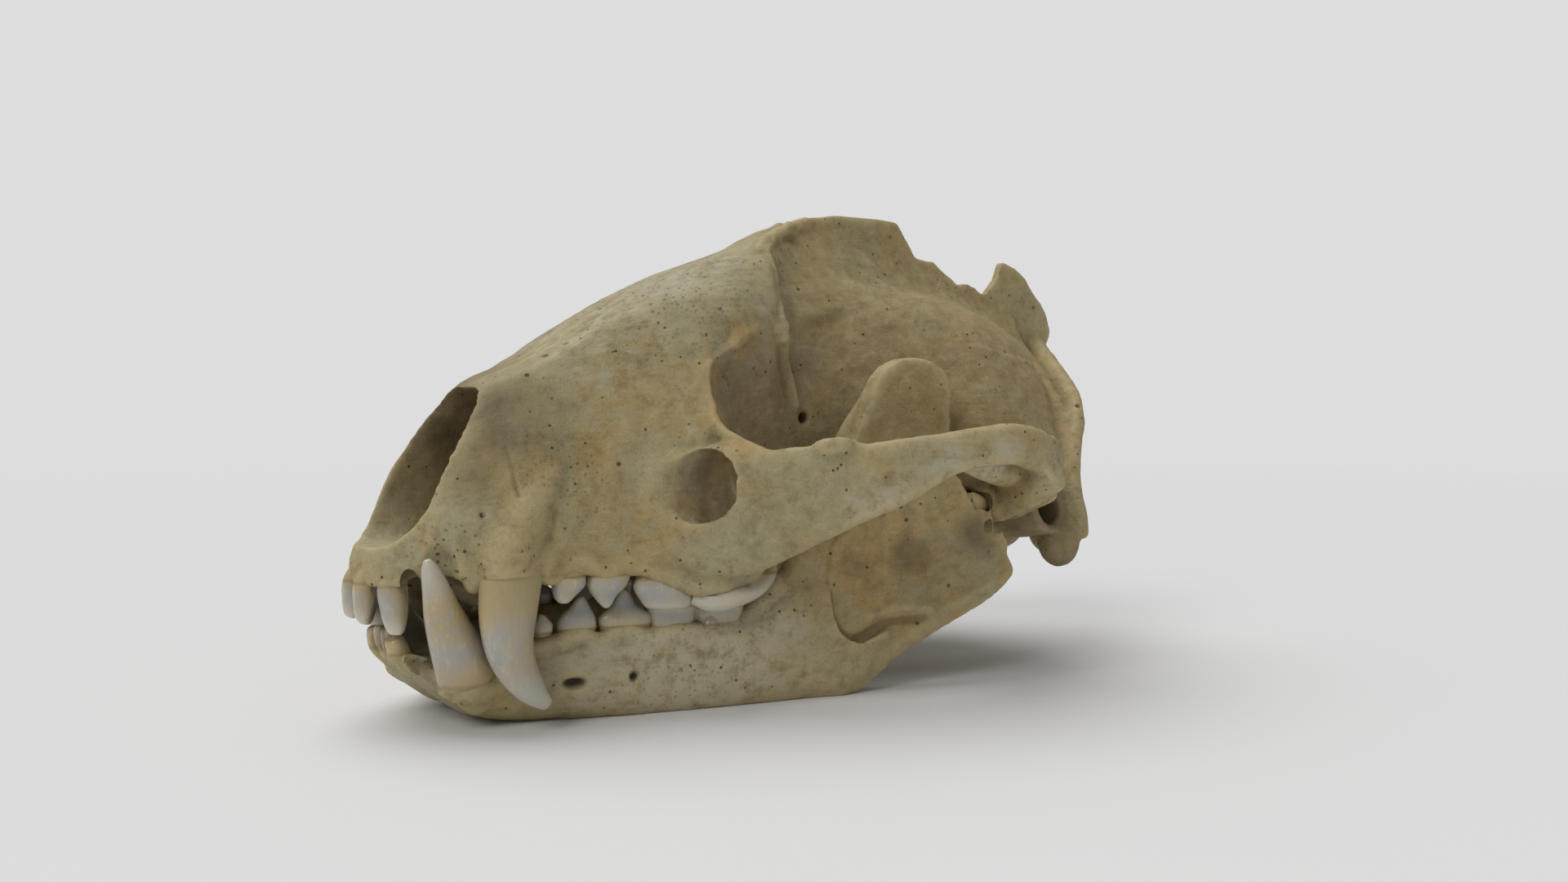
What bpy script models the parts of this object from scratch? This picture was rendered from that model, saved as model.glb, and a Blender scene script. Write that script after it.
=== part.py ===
"""Badger skull: cranium and lower jaw with their teeth, life size, resting on the jaw's lower borders.

The nose points to -Y, the animal's left side is +X and Z is up. Sizes are in millimetres, measured
from the front of the upper jaw at the height of the tooth sockets, and the finished bones are
turned to metres with their origin under the middle of the skull, on the floor.
"""

import math

import bmesh
import bpy
import numpy as np
from mathutils import Matrix, Vector

METRES = 0.001
JAW_BORDER_Z = -20.2
SKULL_MIDDLE = 66.4
GAP = 0.3
UNION_GRID = 0.65
FINISH_GRID = 0.55
UNION_SOFTENING = 3
FINISH_SOFTENING = 3
TOOTH_SIDES = 10
TOOTH_STEPS = 1
RIDGE_STEPS = 4
RIDGE_SIDES = 12
CRANIUM_WORKING_TRIANGLES = 36000
JAW_WORKING_TRIANGLES = 14000

TRIANGLES = {
    "snout": 1900,
    "forehead": 850,
    "braincase": 1500,
    "sagittal_crest": 420,
    "occiput": 1000,
    "zygomatic_arch": 420,
    "auditory_bulla": 200,
    "mandible": 1100,
}

# Sections of the cranium from the nose back: distance, roof height, brow (x, z), side (x, z),
# lower edge (x, z) and the height of the palate or skull base on the midline.
CRANIUM_SECTIONS = [
    (-0.4, 2.6, 1.6, 2.0, 2.6, 0.9, 2.2, -0.7, -0.6),
    (1.0, 6.2, 4.0, 4.8, 5.6, 2.0, 5.2, -0.7, -0.6),
    (3.5, 9.0, 6.5, 7.4, 8.4, 3.5, 8.4, -0.3, 0.3),
    (6.0, 12.4, 9.0, 10.0, 11.0, 5.0, 10.6, 0.6, 1.5),
    (9.0, 17.8, 11.0, 13.8, 13.2, 7.0, 13.0, 0.8, 2.5),
    (13.0, 24.2, 9.6, 19.4, 14.2, 9.0, 15.2, 0.8, 3.0),
    (17.0, 27.6, 7.8, 24.4, 14.4, 11.0, 16.2, 0.7, 3.2),
    (22.0, 29.7, 8.2, 26.6, 14.6, 12.0, 16.8, 0.8, 3.4),
    (28.0, 33.0, 9.0, 30.0, 15.2, 13.0, 17.2, 0.9, 3.6),
    (35.0, 37.0, 10.5, 33.5, 16.2, 15.0, 19.2, 0.2, 3.6),
    (41.0, 40.4, 12.0, 36.3, 18.4, 18.0, 21.4, -1.2, 3.4),
    (46.0, 42.8, 13.5, 37.5, 20.2, 20.0, 22.8, -1.8, 3.0),
    (51.0, 45.0, 14.4, 37.4, 15.0, 21.0, 22.4, -0.4, 2.8),
    (56.0, 46.6, 14.2, 38.0, 12.0, 21.0, 17.4, 1.8, 3.0),
    (61.0, 48.4, 13.0, 39.6, 11.2, 20.0, 10.5, 4.0, 3.4),
    (66.0, 50.7, 6.4, 44.6, 10.4, 24.0, 9.2, 5.0, 3.8),
    (71.0, 50.6, 5.2, 43.6, 11.2, 24.0, 9.0, 6.0, 4.4),
    (77.0, 47.4, 7.2, 40.6, 13.5, 22.0, 10.5, 7.0, 5.0),
    (84.0, 44.5, 14.0, 36.5, 19.0, 20.0, 14.5, 7.0, 5.4),
    (92.0, 43.0, 18.0, 34.5, 24.0, 18.0, 20.0, 6.0, 5.6),
    (100.0, 42.0, 19.0, 33.0, 26.2, 16.0, 23.0, 4.5, 5.4),
    (108.0, 40.0, 18.0, 31.0, 26.2, 13.0, 23.6, 3.0, 5.0),
    (114.0, 37.6, 16.4, 29.4, 23.0, 13.0, 20.4, 3.0, 4.4),
    (118.0, 35.0, 14.0, 27.0, 18.4, 14.0, 14.0, 3.4, 4.0),
    (121.4, 30.6, 9.6, 24.0, 11.0, 15.0, 7.4, 8.0, 6.4),
]

# The cheek arch from the upper jaw back to the jaw joint: distance, outer x, lower and upper edge
# and thickness.
ARCH_SECTIONS = [
    (36.0, 18.4, -0.4, 16.0, 5.0),
    (40.4, 21.6, -1.0, 17.6, 6.0),
    (45.0, 25.6, -0.8, 18.6, 6.6),
    (50.0, 29.4, 0.8, 17.6, 5.6),
    (56.0, 33.4, 4.4, 19.0, 4.4),
    (62.0, 36.4, 7.4, 18.4, 3.9),
    (69.0, 38.7, 10.6, 19.5, 3.6),
    (77.0, 39.5, 14.4, 20.2, 3.5),
    (86.0, 39.5, 15.0, 20.9, 3.6),
    (93.0, 38.8, 13.0, 20.0, 4.4),
    (98.0, 36.4, 10.5, 18.0, 6.5),
    (100.4, 31.0, 9.0, 17.0, 8.0),
]

# The pear-shaped opening of the nose seen from the front, its left half (x, z), and how far back it
# runs with what share of its size.
NOSE_OPENING = [
    (0.0, 26.4),
    (2.8, 26.6),
    (5.2, 25.9),
    (6.8, 23.8),
    (7.8, 20.4),
    (8.6, 16.8),
    (9.0, 13.4),
    (8.8, 10.4),
    (8.0, 7.8),
    (6.0, 5.6),
    (3.2, 4.9),
    (0.0, 4.9),
]
NOSE_MIDDLE_Z = 14.5
# The curled bones in it: height, x, radius and where each starts, where all end and how far they rise.
NOSE_SCROLLS = [(9.4, 5.4, 1.9, 16.4), (13.0, 5.2, 2.2, 17.6), (16.8, 4.2, 1.7, 15.8), (20.0, 4.4, 2.0, 18.4),
                (23.0, 2.6, 1.5, 17.2)]
NOSE_SCROLL_END = 31.0
NOSE_SCROLL_RISE = 1.6
# The wall between its halves seen from the side: distance and height.
SEPTUM = [(11.0, 5.6), (16.0, 9.0), (20.4, 24.5), (28.0, 26.0), (28.0, 7.0)]
SEPTUM_THICKNESS = 1.4
NOSE_DEPTHS = [(-6.0, 1.0), (12.0, 1.0), (18.0, 0.94), (24.0, 0.76), (29.0, 0.4)]

# The worn and broken edge of the sagittal crest: distance and height, from the forehead to the nape.
CREST_EDGE = [
    (68.0, 50.8),
    (76.0, 54.2),
    (83.0, 55.3),
    (95.7, 55.2),
    (98.9, 51.4),
    (100.4, 49.2),
    (104.3, 48.8),
    (107.0, 46.6),
    (110.2, 44.7),
    (112.8, 45.4),
    (116.7, 43.2),
    (119.8, 46.2),
    (121.2, 49.9),
    (124.6, 48.7),
    (127.2, 47.0),
    (132.5, 41.1),
    (134.1, 36.8),
    (131.9, 32.1),
]
CREST_THICKNESS = 1.9
CREST_BURIED_EDGE = [(128.0, 28.0), (100.0, 36.0), (80.0, 42.0), (68.0, 44.0)]

# The foot under the crest: at each distance, its height at these distances out from the middle.
CREST_FOOT_WIDTHS = [0.9, 2.0, 4.6, 8.6]
CREST_FOOT = [
    (69.0, (51.0, 49.0, 45.2, 37.8)),
    (77.0, (53.0, 50.0, 45.6, 39.4)),
    (84.0, (53.0, 49.4, 45.4, 41.4)),
    (92.0, (51.0, 47.4, 44.2, 41.4)),
    (100.0, (47.6, 45.0, 42.6, 40.2)),
    (108.0, (44.4, 42.8, 40.6, 38.2)),
    (116.0, (42.0, 39.8, 37.6, 34.6)),
    (124.0, (40.0, 37.0, 33.6, 30.0)),
]

SIDEWAYS = (1.0, 0.0, 0.0)
BACKWARDS = (0.0, 1.0, 0.0)
UPWARDS = (0.0, 0.0, 1.0)

# Rounded ridges on each side of the cranium: x, distance, height and radius along each, and which way
# their sections stand.
CRANIUM_RIDGES = {
    "nuchal_crest": (BACKWARDS, [
        (0.0, 130.6, 34.4, 1.9),
        (6.0, 127.0, 31.6, 1.8),
        (12.0, 124.2, 28.6, 1.6),
        (17.6, 121.8, 25.0, 1.6),
        (22.0, 117.8, 20.8, 1.6),
        (24.6, 113.8, 15.4, 1.8),
        (25.6, 112.2, 10.0, 2.3),
        (26.4, 111.9, 5.0, 2.9),
        (26.8, 111.3, 1.6, 3.1),
    ]),
    "nuchal_web": (BACKWARDS, [
        (0.0, 124.0, 31.0, 3.4),
        (10.0, 120.0, 26.0, 3.6),
        (18.8, 115.6, 18.0, 4.0),
        (22.8, 110.4, 8.0, 4.6),
    ]),
    "nape_ridge": (BACKWARDS, [
        (1.2, 131.0, 33.6, 1.6),
        (0.9, 124.6, 27.0, 1.5),
        (0.9, 121.4, 20.0, 1.3),
    ]),
    "temporal_ridge": (BACKWARDS, [
        (13.2, 62.2, 33.0, 1.1),
        (12.0, 62.0, 36.4, 1.1),
        (9.8, 62.1, 40.8, 1.1),
        (7.2, 62.2, 45.2, 1.1),
        (4.8, 63.8, 48.2, 1.0),
        (2.2, 68.8, 51.2, 1.0),
        (0.4, 76.4, 53.6, 1.0),
    ]),
    "orbit_ridge": (BACKWARDS, [
        (12.6, 62.4, 34.0, 1.1),
        (10.4, 64.2, 30.0, 0.9),
        (10.0, 65.6, 26.6, 0.9),
        (10.6, 67.0, 22.6, 0.6),
    ]),
    "orbit_rim": (SIDEWAYS, [
        (12.6, 60.6, 36.6, 0.9),
        (13.7, 56.0, 35.2, 0.9),
        (14.9, 51.6, 32.4, 1.0),
        (16.8, 47.4, 28.4, 1.0),
        (18.4, 45.6, 24.8, 1.0),
        (20.0, 45.2, 21.4, 1.0),
        (22.6, 46.4, 19.0, 1.0),
        (26.0, 49.4, 17.0, 1.0),
    ]),
    "canine_root": (UPWARDS, [
        (15.3, 15.3, 0.5, 3.6),
        (14.7, 15.5, 3.2, 4.3),
        (13.0, 19.0, 9.0, 3.7),
        (11.4, 25.0, 15.0, 2.6),
    ]),
    "upper_sockets": (UPWARDS, [
        (15.6, 19.4, 1.6, 1.3),
        (15.7, 21.3, 0.3, 1.2),
        (16.0, 23.9, 2.2, 1.3),
        (16.5, 26.4, 2.1, 1.4),
        (17.0, 29.6, 0.8, 1.4),
        (17.6, 32.9, 1.9, 1.4),
        (18.9, 35.4, 0.6, 1.4),
        (19.9, 38.1, -0.6, 1.4),
        (20.6, 41.3, -1.7, 1.5),
        (21.1, 43.6, -1.8, 1.5),
        (21.7, 47.0, -1.1, 1.5),
        (21.7, 50.6, 0.5, 1.4),
        (20.6, 53.6, 2.2, 1.3),
        (19.6, 55.5, 3.2, 1.2),
    ]),
    "canine_gap": (UPWARDS, [
        (8.8, 8.8, 1.2, 1.2),
        (9.4, 12.6, -1.5, 2.0),
        (10.6, 16.4, -0.6, 2.2),
        (11.6, 19.6, 1.2, 1.6),
    ]),
}

# Rods of oval section on each side: x, distance, height, half width and half height along each.
CRANIUM_RODS = {
    "joint_bar": [(18.0, 93.8, 6.0, 1.8, 3.0), (28.0, 94.0, 7.8, 2.0, 2.9), (34.0, 94.6, 10.5, 2.2, 2.8),
                  (38.6, 95.4, 13.2, 2.2, 2.6)],
    "joint_roof": [(17.0, 95.0, 13.6, 4.2, 4.4), (27.0, 96.4, 14.6, 3.4, 3.8), (36.6, 96.6, 16.0, 3.0, 3.2)],
    "joint_back": [(18.0, 97.6, 8.4, 2.6, 4.0), (27.0, 98.0, 9.6, 2.6, 4.4), (34.0, 98.2, 12.4, 2.2, 4.0)],
    "joint_shelf": [(37.0, 77.0, 15.4, 1.0, 1.6), (35.4, 84.0, 14.0, 2.0, 1.9), (32.2, 90.0, 13.4, 3.2, 2.3),
                    (28.0, 94.6, 13.0, 3.2, 2.6)],
    "ear_tube": [(18.0, 102.4, 5.0, 5.0, 4.2), (24.0, 104.0, 6.6, 5.4, 4.8), (28.4, 105.2, 7.4, 5.6, 5.0)],
}

# Lumps on each side: their centre, three half sizes and turn in degrees round an axis.
CRANIUM_LUMPS = {
    "mastoid": ((26.0, 109.4, 0.9), (3.2, 3.6, 4.3), 0, "X"),
    "paroccipital": ((19.0, 113.4, 1.6), (3.2, 2.4, 4.0), 18, "X"),
    "occipital_condyle": ((9.2, 120.4, 7.4), (4.6, 4.8, 6.2), -30, "Y"),
    "bulla": ((14.6, 100.8, 3.0), (7.6, 10.6, 5.0), 14, "Z"),
    "postorbital": ((12.6, 61.2, 35.6), (1.7, 2.4, 1.4), 40, "Y"),
    "cheek_point": ((32.4, 57.0, 18.0), (2.4, 3.6, 1.7), 0, "X"),
    "orbit_knob": ((16.9, 46.4, 28.8), (1.3, 1.7, 1.9), 30, "X"),
    "canine_lip": ((12.9, 11.5, -0.6), (1.6, 1.4, 3.4), 0, "X"),
}
PTERYGOID = [(58.0, 4.0), (70.0, 1.2), (80.0, -1.2), (83.6, -2.6), (83.0, 0.8), (86.0, 6.0), (84.0, 9.0),
             (58.0, 9.0)]
PTERYGOID_X = 8.2
PTERYGOID_THICKNESS = 1.8

# The jaw's condyle and the room round it in its socket.
CONDYLE_CENTRE = (21.8, 91.2, 6.6)
CONDYLE_HALF = (5.8, 2.7, 2.7)
CONDYLE_TILT = -18
JOINT_ROOM = 0.7

# What is cut away on each side and in the middle, in the same two forms.
SIDE_RODS_CUT = {
    "canal": [(19.8, 33.4, 12.4, 2.8, 2.6), (20.7, 39.2, 12.3, 3.5, 3.6), (21.9, 44.2, 12.2, 4.1, 5.1),
              (22.2, 48.6, 11.9, 3.1, 3.6)],
    "ear": [(20.0, 102.2, 5.6, 2.4, 2.0), (25.0, 103.6, 6.7, 3.0, 2.6), (32.0, 105.4, 7.4, 4.2, 3.4)],
    "socket_mouth": [(16.6, 89.4, 3.0, 2.8, 3.4), (25.6, 89.0, 5.2, 3.0, 4.2), (34.0, 88.4, 8.6, 3.0, 3.6)],
}
SIDE_LUMPS_CUT = {
    "orbit": ((24.4, 57.4, 25.8), (12.4, 14.0, 9.8), -18, "X"),
    "canine_notch": ((12.8, 6.0, 2.0), (2.6, 2.9, 5.0), 0, "X"),
    "neck_room": ((25.8, 86.6, 7.0), (4.0, 3.6, 4.6), 0, "X"),
    "socket": (CONDYLE_CENTRE, tuple(half + JOINT_ROOM for half in CONDYLE_HALF), CONDYLE_TILT, "Y"),
}
MIDDLE_RODS_CUT = {
    "choana": [(0.0, 64.0, 2.6, 4.0, 2.0), (0.0, 74.0, 4.6, 6.8, 6.2), (0.0, 86.0, 2.0, 6.6, 5.0)],
    "foramen_magnum": [(0.0, 112.0, 14.0, 7.4, 6.2), (0.0, 121.0, 11.4, 7.4, 6.2),
                       (0.0, 130.0, 10.0, 7.8, 6.6)],
}
MIDDLE_LUMPS_CUT = {
    "palate_vault": ((0.0, 32.0, 0.2), (10.5, 27.0, 3.6), 0, "X"),
    "cerebrum": ((0.0, 98.0, 22.8), (22.0, 20.0, 15.4), 0, "X"),
    "cerebellum": ((0.0, 111.6, 20.0), (17.0, 9.4, 12.0), 0, "X"),
}

# Cheek teeth of the left side: middle x and thickness, then level by level from the gum line to the
# tip the height and the front and rear edges of the crown.
UPPER_PREMOLARS = [
    (15.6, 3.0, [
        (0.5, 21.5, 26.4),
        (-0.9, 21.6, 26.3),
        (-2.3, 21.9, 24.9),
        (-3.2, 22.6, 24.0),
    ]),
    (16.5, 3.4, [
        (0.4, 26.8, 33.0),
        (-1.4, 26.8, 32.2),
        (-2.6, 27.5, 30.9),
        (-3.8, 28.5, 30.2),
        (-4.3, 29.0, 29.7),
    ]),
    (18.1, 4.0, [
        (-0.4, 33.5, 42.3),
        (-1.8, 33.2, 42.4),
        (-3.6, 34.2, 42.2),
        (-4.6, 35.0, 41.7),
        (-4.9, 36.0, 41.0),
    ]),
]
LOWER_PREMOLARS = [
    (12.0, 2.2, [
        (-7.6, 20.2, 23.2),
        (-6.4, 20.3, 23.2),
        (-5.4, 21.0, 22.4),
        (-5.0, 21.3, 21.9),
    ]),
    (13.0, 2.7, [
        (-7.4, 23.6, 29.4),
        (-5.8, 24.0, 29.2),
        (-4.4, 25.4, 28.5),
        (-3.3, 26.4, 27.9),
        (-2.8, 27.0, 27.6),
    ]),
    (14.2, 3.0, [
        (-7.4, 29.7, 37.0),
        (-6.0, 29.8, 36.8),
        (-4.4, 31.6, 35.2),
        (-2.8, 32.6, 34.4),
        (-2.1, 33.2, 33.8),
    ]),
]
CROWN_ROOT = 2.8
ROOT_INWARD = 1.0
ROW_TURN = math.radians(13)

# Canines of the left side from deep in the root to the tip: x, distance, height, half length and
# half thickness.
UPPER_CANINE = [
    (13.6, 19.0, 8.0, 3.0, 2.4),
    (14.7, 16.2, 2.0, 4.2, 3.2),
    (15.2, 15.2, -3.0, 4.1, 3.2),
    (15.8, 14.9, -7.5, 3.5, 2.7),
    (16.2, 15.8, -11.0, 2.9, 2.3),
    (16.5, 17.8, -14.2, 2.1, 1.7),
    (16.7, 20.2, -16.6, 0.9, 0.8),
]
LOWER_CANINE = [
    (9.2, 14.6, -16.6, 3.0, 2.6),
    (9.8, 11.8, -12.6, 3.9, 3.1),
    (10.5, 9.6, -8.6, 3.5, 2.8),
    (11.4, 7.7, -4.2, 2.7, 2.2),
    (12.0, 6.4, -0.4, 1.9, 1.6),
    (12.4, 5.4, 2.4, 1.2, 1.1),
    (12.5, 5.0, 3.8, 0.5, 0.5),
]

# Incisors: x, distance and height of root, gum line and tip, half width and half depth.
UPPER_INCISORS = [
    ((1.9, 2.6, 3.4), (2.05, 0.5, 0.0), (2.2, -0.1, -5.2), 1.55, 1.6),
    ((4.9, 4.6, 3.4), (5.4, 3.0, -0.2), (6.0, 3.2, -6.8), 1.95, 2.1),
    ((7.6, 6.2, 3.8), (8.1, 4.8, 0.2), (8.4, 4.0, -6.8), 1.6, 1.8),
]
LOWER_INCISORS = [
    ((1.2, 5.4, -12.6), (1.25, 3.5, -9.4), (1.3, 2.5, -5.4), 1.0, 1.3),
    ((3.4, 6.0, -13.0), (3.4, 3.6, -9.9), (3.4, 2.4, -7.0), 1.35, 1.6),
    ((5.8, 7.6, -13.4), (6.0, 6.4, -10.0), (6.4, 5.8, -7.4), 1.4, 1.5),
]
# The left third upper incisor is lost and its socket is empty, as is that of the third lower one,
# and the left second lower incisor is worn down to a stump.
LOST_SOCKETS = {"upper": (8.4, 4.8, 0.2), "lower": (6.2, 5.6, -10.2)}
LOST_SOCKET_HALF = (1.5, 1.8, 2.6)
STUMP_HEIGHT = -7.6

UPPER_MOLAR_CENTRE = (17.0, 48.7)
UPPER_MOLAR_HALF = (5.2, 6.4)
UPPER_MOLAR_ROOT = 3.4
UPPER_MOLAR_GUM = -1.4
UPPER_MOLAR_FACE = (-4.0, -3.2)
UPPER_MOLAR_BEVEL = 0.9
# The enamel wall on the molar's outer side: x, distance, height, half length across and half height.
UPPER_MOLAR_WALL = [
    (19.6, 41.4, -3.4, 0.9, 1.0),
    (20.8, 44.0, -4.2, 1.4, 1.5),
    (21.6, 47.4, -3.6, 1.5, 1.6),
    (21.4, 50.8, -2.8, 1.4, 1.5),
    (21.0, 53.4, -1.4, 1.2, 1.3),
    (20.2, 55.0, 0.4, 0.8, 0.9),
]
UPPER_MOLAR_CUSPS = [
    (20.4, 44.2, -5.6),
    (20.8, 48.2, -5.0),
    (14.8, 45.6, -5.0),
    (12.8, 49.4, -4.2),
    (19.0, 52.2, -4.0),
]
LOWER_MOLARS = [
    ((14.9, 40.9), (2.4, 3.4), -5.4),
    ((15.9, 47.8), (3.0, 4.2), -6.4),
    ((17.5, 54.2), (2.3, 2.1), -5.6),
]
LOWER_MOLAR_CUSPS = [
    (14.4, 39.2, -3.2),
    (15.0, 42.2, -2.8),
    (17.4, 45.8, -6.0),
    (14.4, 47.2, -6.0),
    (17.0, 50.4, -5.8),
]
LOWER_MOLAR_ROOT = -11.4

# Sections of the left jaw body: distance, middle x, half thickness, lower and upper border.
JAW_SECTIONS = [
    (3.6, 0.6, 3.0, -11.4, -9.0),
    (5.6, 2.6, 5.4, -13.2, -9.2),
    (8.6, 4.2, 6.9, -15.6, -9.6),
    (12.6, 5.0, 7.9, -18.6, -9.6),
    (17.6, 5.8, 7.6, -20.2, -9.0),
    (23.0, 7.6, 6.4, -20.6, -8.0),
    (28.0, 10.2, 4.9, -20.6, -7.6),
    (34.0, 12.6, 4.0, -20.7, -7.6),
    (41.0, 14.5, 3.8, -20.7, -7.4),
    (48.0, 16.1, 3.8, -20.7, -7.2),
    (55.0, 17.7, 3.7, -20.7, -5.8),
    (60.0, 18.9, 3.3, -20.7, -2.0),
    (67.4, 20.8, 3.0, -20.7, -4.0),
    (74.0, 22.4, 2.2, -17.0, -8.0),
]

# By what share the lower side of the chin is narrower, against the distance.
CHIN_TAPER = ([8.0, 26.0], [0.5, 0.0])

# The jaw's rising branch seen from the side: distance and height, from the last tooth over the
# coronoid process, the neck of the joint and the angle back to the lower border.
RAMUS_OUTLINE = [
    (56.0, -12.0),
    (57.6, -4.4),
    (60.6, 3.0),
    (64.9, 12.0),
    (68.8, 19.3),
    (71.2, 26.2),
    (73.4, 29.6),
    (77.2, 30.9),
    (81.4, 30.0),
    (84.0, 27.0),
    (84.2, 21.0),
    (84.4, 14.6),
    (87.2, 10.4),
    (88.6, 4.0),
    (90.6, 0.4),
    (94.0, -0.8),
    (96.6, -3.0),
    (94.6, -5.0),
    (90.2, -7.8),
    (82.0, -11.8),
    (73.6, -16.4),
    (69.2, -20.0),
    (59.0, -19.0),
]
RAMUS_THICKNESS = 3.1
RAMUS_FOOT = (18.4, 58.0)
RAMUS_SPREAD = 0.245
RAMUS_LEAN = 0.05
RAMUS_LEAN_FROM = 4.0

# Ridges on it: distance, height, radius and how far inwards each point lies.
RAMUS_RIDGES = {
    "front_edge": (BACKWARDS, [
        (58.6, -7.0, 3.0, 0.5),
        (62.6, 4.0, 2.1, 0.9),
        (66.6, 14.0, 1.4, 1.8),
        (69.6, 21.0, 1.0, 1.8),
        (73.0, 26.6, 0.9, 1.2),
    ]),
    "lower_edge": (UPWARDS, [
        (62.0, -17.8, 2.4, 0.0),
        (72.0, -15.0, 2.2, 0.0),
        (81.0, -10.2, 2.1, 0.0),
        (88.6, -6.4, 1.8, 0.0),
        (92.6, -2.8, 1.2, 0.0),
    ]),
    "joint_neck": (UPWARDS, [
        (80.0, 0.0, 1.4, 0.0),
        (86.0, 2.6, 2.2, 0.2),
        (91.0, 6.6, 2.3, 1.2),
    ]),
}
JAW_RIDGES = {
    "lower_sockets": (UPWARDS, [
        (12.2, 18.6, -9.6, 1.3),
        (12.7, 23.0, -9.2, 1.3),
        (13.5, 26.6, -8.0, 1.3),
        (13.9, 29.6, -9.3, 1.3),
        (14.8, 33.4, -8.0, 1.4),
        (15.4, 37.0, -9.2, 1.4),
        (16.2, 40.8, -8.7, 1.5),
        (16.8, 44.0, -9.0, 1.5),
        (17.6, 50.0, -8.4, 1.5),
        (18.2, 54.6, -5.4, 1.6),
        (18.9, 57.6, -2.2, 1.6),
    ]),
    "lower_canine_root": (UPWARDS, [
        (10.0, 10.6, -10.6, 3.9),
        (9.8, 13.8, -14.4, 3.4),
    ]),
}

# The hollow for the chewing muscle on the outer side of the rising branch.
MUSCLE_HOLLOW = [
    (64.4, -5.0),
    (65.4, -10.0),
    (68.4, -12.0),
    (71.2, -11.4),
    (77.0, -9.4),
    (83.4, -6.0),
    (86.4, -3.0),
    (84.4, 3.0),
    (80.4, 8.6),
    (76.4, 12.4),
    (73.0, 11.6),
    (69.4, 5.4),
    (66.0, 0.4),
]
MUSCLE_HOLLOW_DEPTH = 0.9

# Where the bones of the cranium part, as outlines seen from the side (distance, height) or from
# above (x, distance).
CREST_BLOCK = [
    (72.0, 49.4),
    (78.0, 46.6),
    (100.0, 41.2),
    (118.0, 36.4),
    (127.0, 33.6),
    (140.0, 33.0),
    (140.0, 60.0),
    (72.0, 60.0),
]
CREST_REACH = 5.2
ARCH_BLOCK = [(23.6, 36.0), (46.0, 36.0), (46.0, 103.4), (28.4, 103.4)]
ARCH_HEIGHTS = (-6.0, 27.0)
BULLA_BLOCK = [(6.6, 88.5), (23.2, 88.5), (23.2, 110.6), (6.6, 110.6)]
BULLA_HEIGHTS = (-8.0, 3.2)
SNOUT_BLOCK = [(-10.0, -12.0), (58.6, -12.0), (42.2, 52.0), (-10.0, 52.0)]
FOREHEAD_BLOCK = [(30.0, -12.0), (74.0, -12.0), (74.0, 60.0), (30.0, 60.0)]
OCCIPUT_BLOCK = [(99.0, -12.0), (140.0, -12.0), (140.0, 60.0), (135.0, 60.0)]
WHOLE_REACH = 40.0
LEFT_HALF = [(GAP / 2, -10.0), (60.0, -10.0), (60.0, 110.0), (GAP / 2, 110.0)]
LEFT_HALF_HEIGHTS = (-40.0, 60.0)
FLOOR_AREA = [(-60.0, -10.0), (60.0, -10.0), (60.0, 110.0), (-60.0, 110.0)]
FLOOR_DEPTH = 10.0
BONE_COLOUR = (0.52, 0.42, 0.25, 1.0)
BONE_ROUGHNESS = 0.62
SHARP_ANGLE = math.radians(50)


def clear_scene():
    for item in list(bpy.data.objects):
        bpy.data.objects.remove(item, do_unlink=True)


def smooth_path(points, steps):
    """Points on a smooth curve through the given ones, with so many steps in each span."""
    given = np.array(points, float)
    before = np.vstack([2 * given[0] - given[1], given[:-1]])
    after = np.vstack([given[1:], 2 * given[-1] - given[-2]])
    slopes = (after - before) / 2
    found = []
    for i in range(len(given) - 1):
        for t in np.arange(steps) / steps:
            start = (2 * t**3 - 3 * t**2 + 1) * given[i] + (t**3 - 2 * t**2 + t) * slopes[i]
            end = (3 * t**2 - 2 * t**3) * given[i + 1] + (t**3 - t**2) * slopes[i + 1]
            found.append(start + end)
    found.append(given[-1])
    return np.array(found)


def smooth_ring(points, steps):
    """The same round a closed outline."""
    given = np.array(points, float)
    wrapped = np.vstack([given[-1:], given, given[:2]])
    return smooth_path(wrapped, steps)[steps : -steps - 1]


def add_object(name, bm):
    """A closed mesh with its faces pointing out, as an object in the scene."""
    bm.normal_update()
    bmesh.ops.recalc_face_normals(bm, faces=bm.faces)
    mesh = bpy.data.meshes.new(name)
    bm.to_mesh(mesh)
    bm.free()
    item = bpy.data.objects.new(name, mesh)
    bpy.context.scene.collection.objects.link(item)
    return item


def loft(name, rings):
    """A closed solid through rings of the same number of points, with flat ends."""
    bm = bmesh.new()
    loops = [[bm.verts.new(point) for point in ring] for ring in rings]
    for first, second in zip(loops, loops[1:]):
        for i in range(len(first)):
            j = (i + 1) % len(first)
            bm.faces.new((first[i], first[j], second[j], second[i]))
    bm.faces.new(loops[0])
    bm.faces.new(loops[-1])
    return add_object(name, bm)


def ellipsoid(name, centre, half, degrees=0, axis="X"):
    """A round lump with three half sizes, turned about its centre."""
    bm = bmesh.new()
    bmesh.ops.create_uvsphere(bm, u_segments=24, v_segments=14, radius=1.0)
    turn = Matrix.Rotation(math.radians(degrees), 4, axis)
    bm.transform(Matrix.Translation(centre) @ turn @ Matrix.Diagonal((*half, 1.0)))
    return add_object(name, bm)


def sweep(name, rows, sides=16, up=UPWARDS):
    """A solid of oval section along a path. A row is a point, half a width across the path and half a
    height nearest to up."""
    rows = np.array(rows, float)
    path = rows[:, :3]
    rings = []
    for i, (point, width, height) in enumerate(zip(path, rows[:, 3], rows[:, 4])):
        along = path[min(i + 1, len(path) - 1)] - path[max(i - 1, 0)]
        along /= np.linalg.norm(along)
        across = np.cross(along, up)
        across /= np.linalg.norm(across)
        rise = np.cross(across, along)
        ring = []
        for k in range(sides):
            angle = 2 * math.pi * k / sides
            ring.append(point + across * width * math.cos(angle) + rise * height * math.sin(angle))
        rings.append(ring)
    return loft(name, rings)


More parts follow.
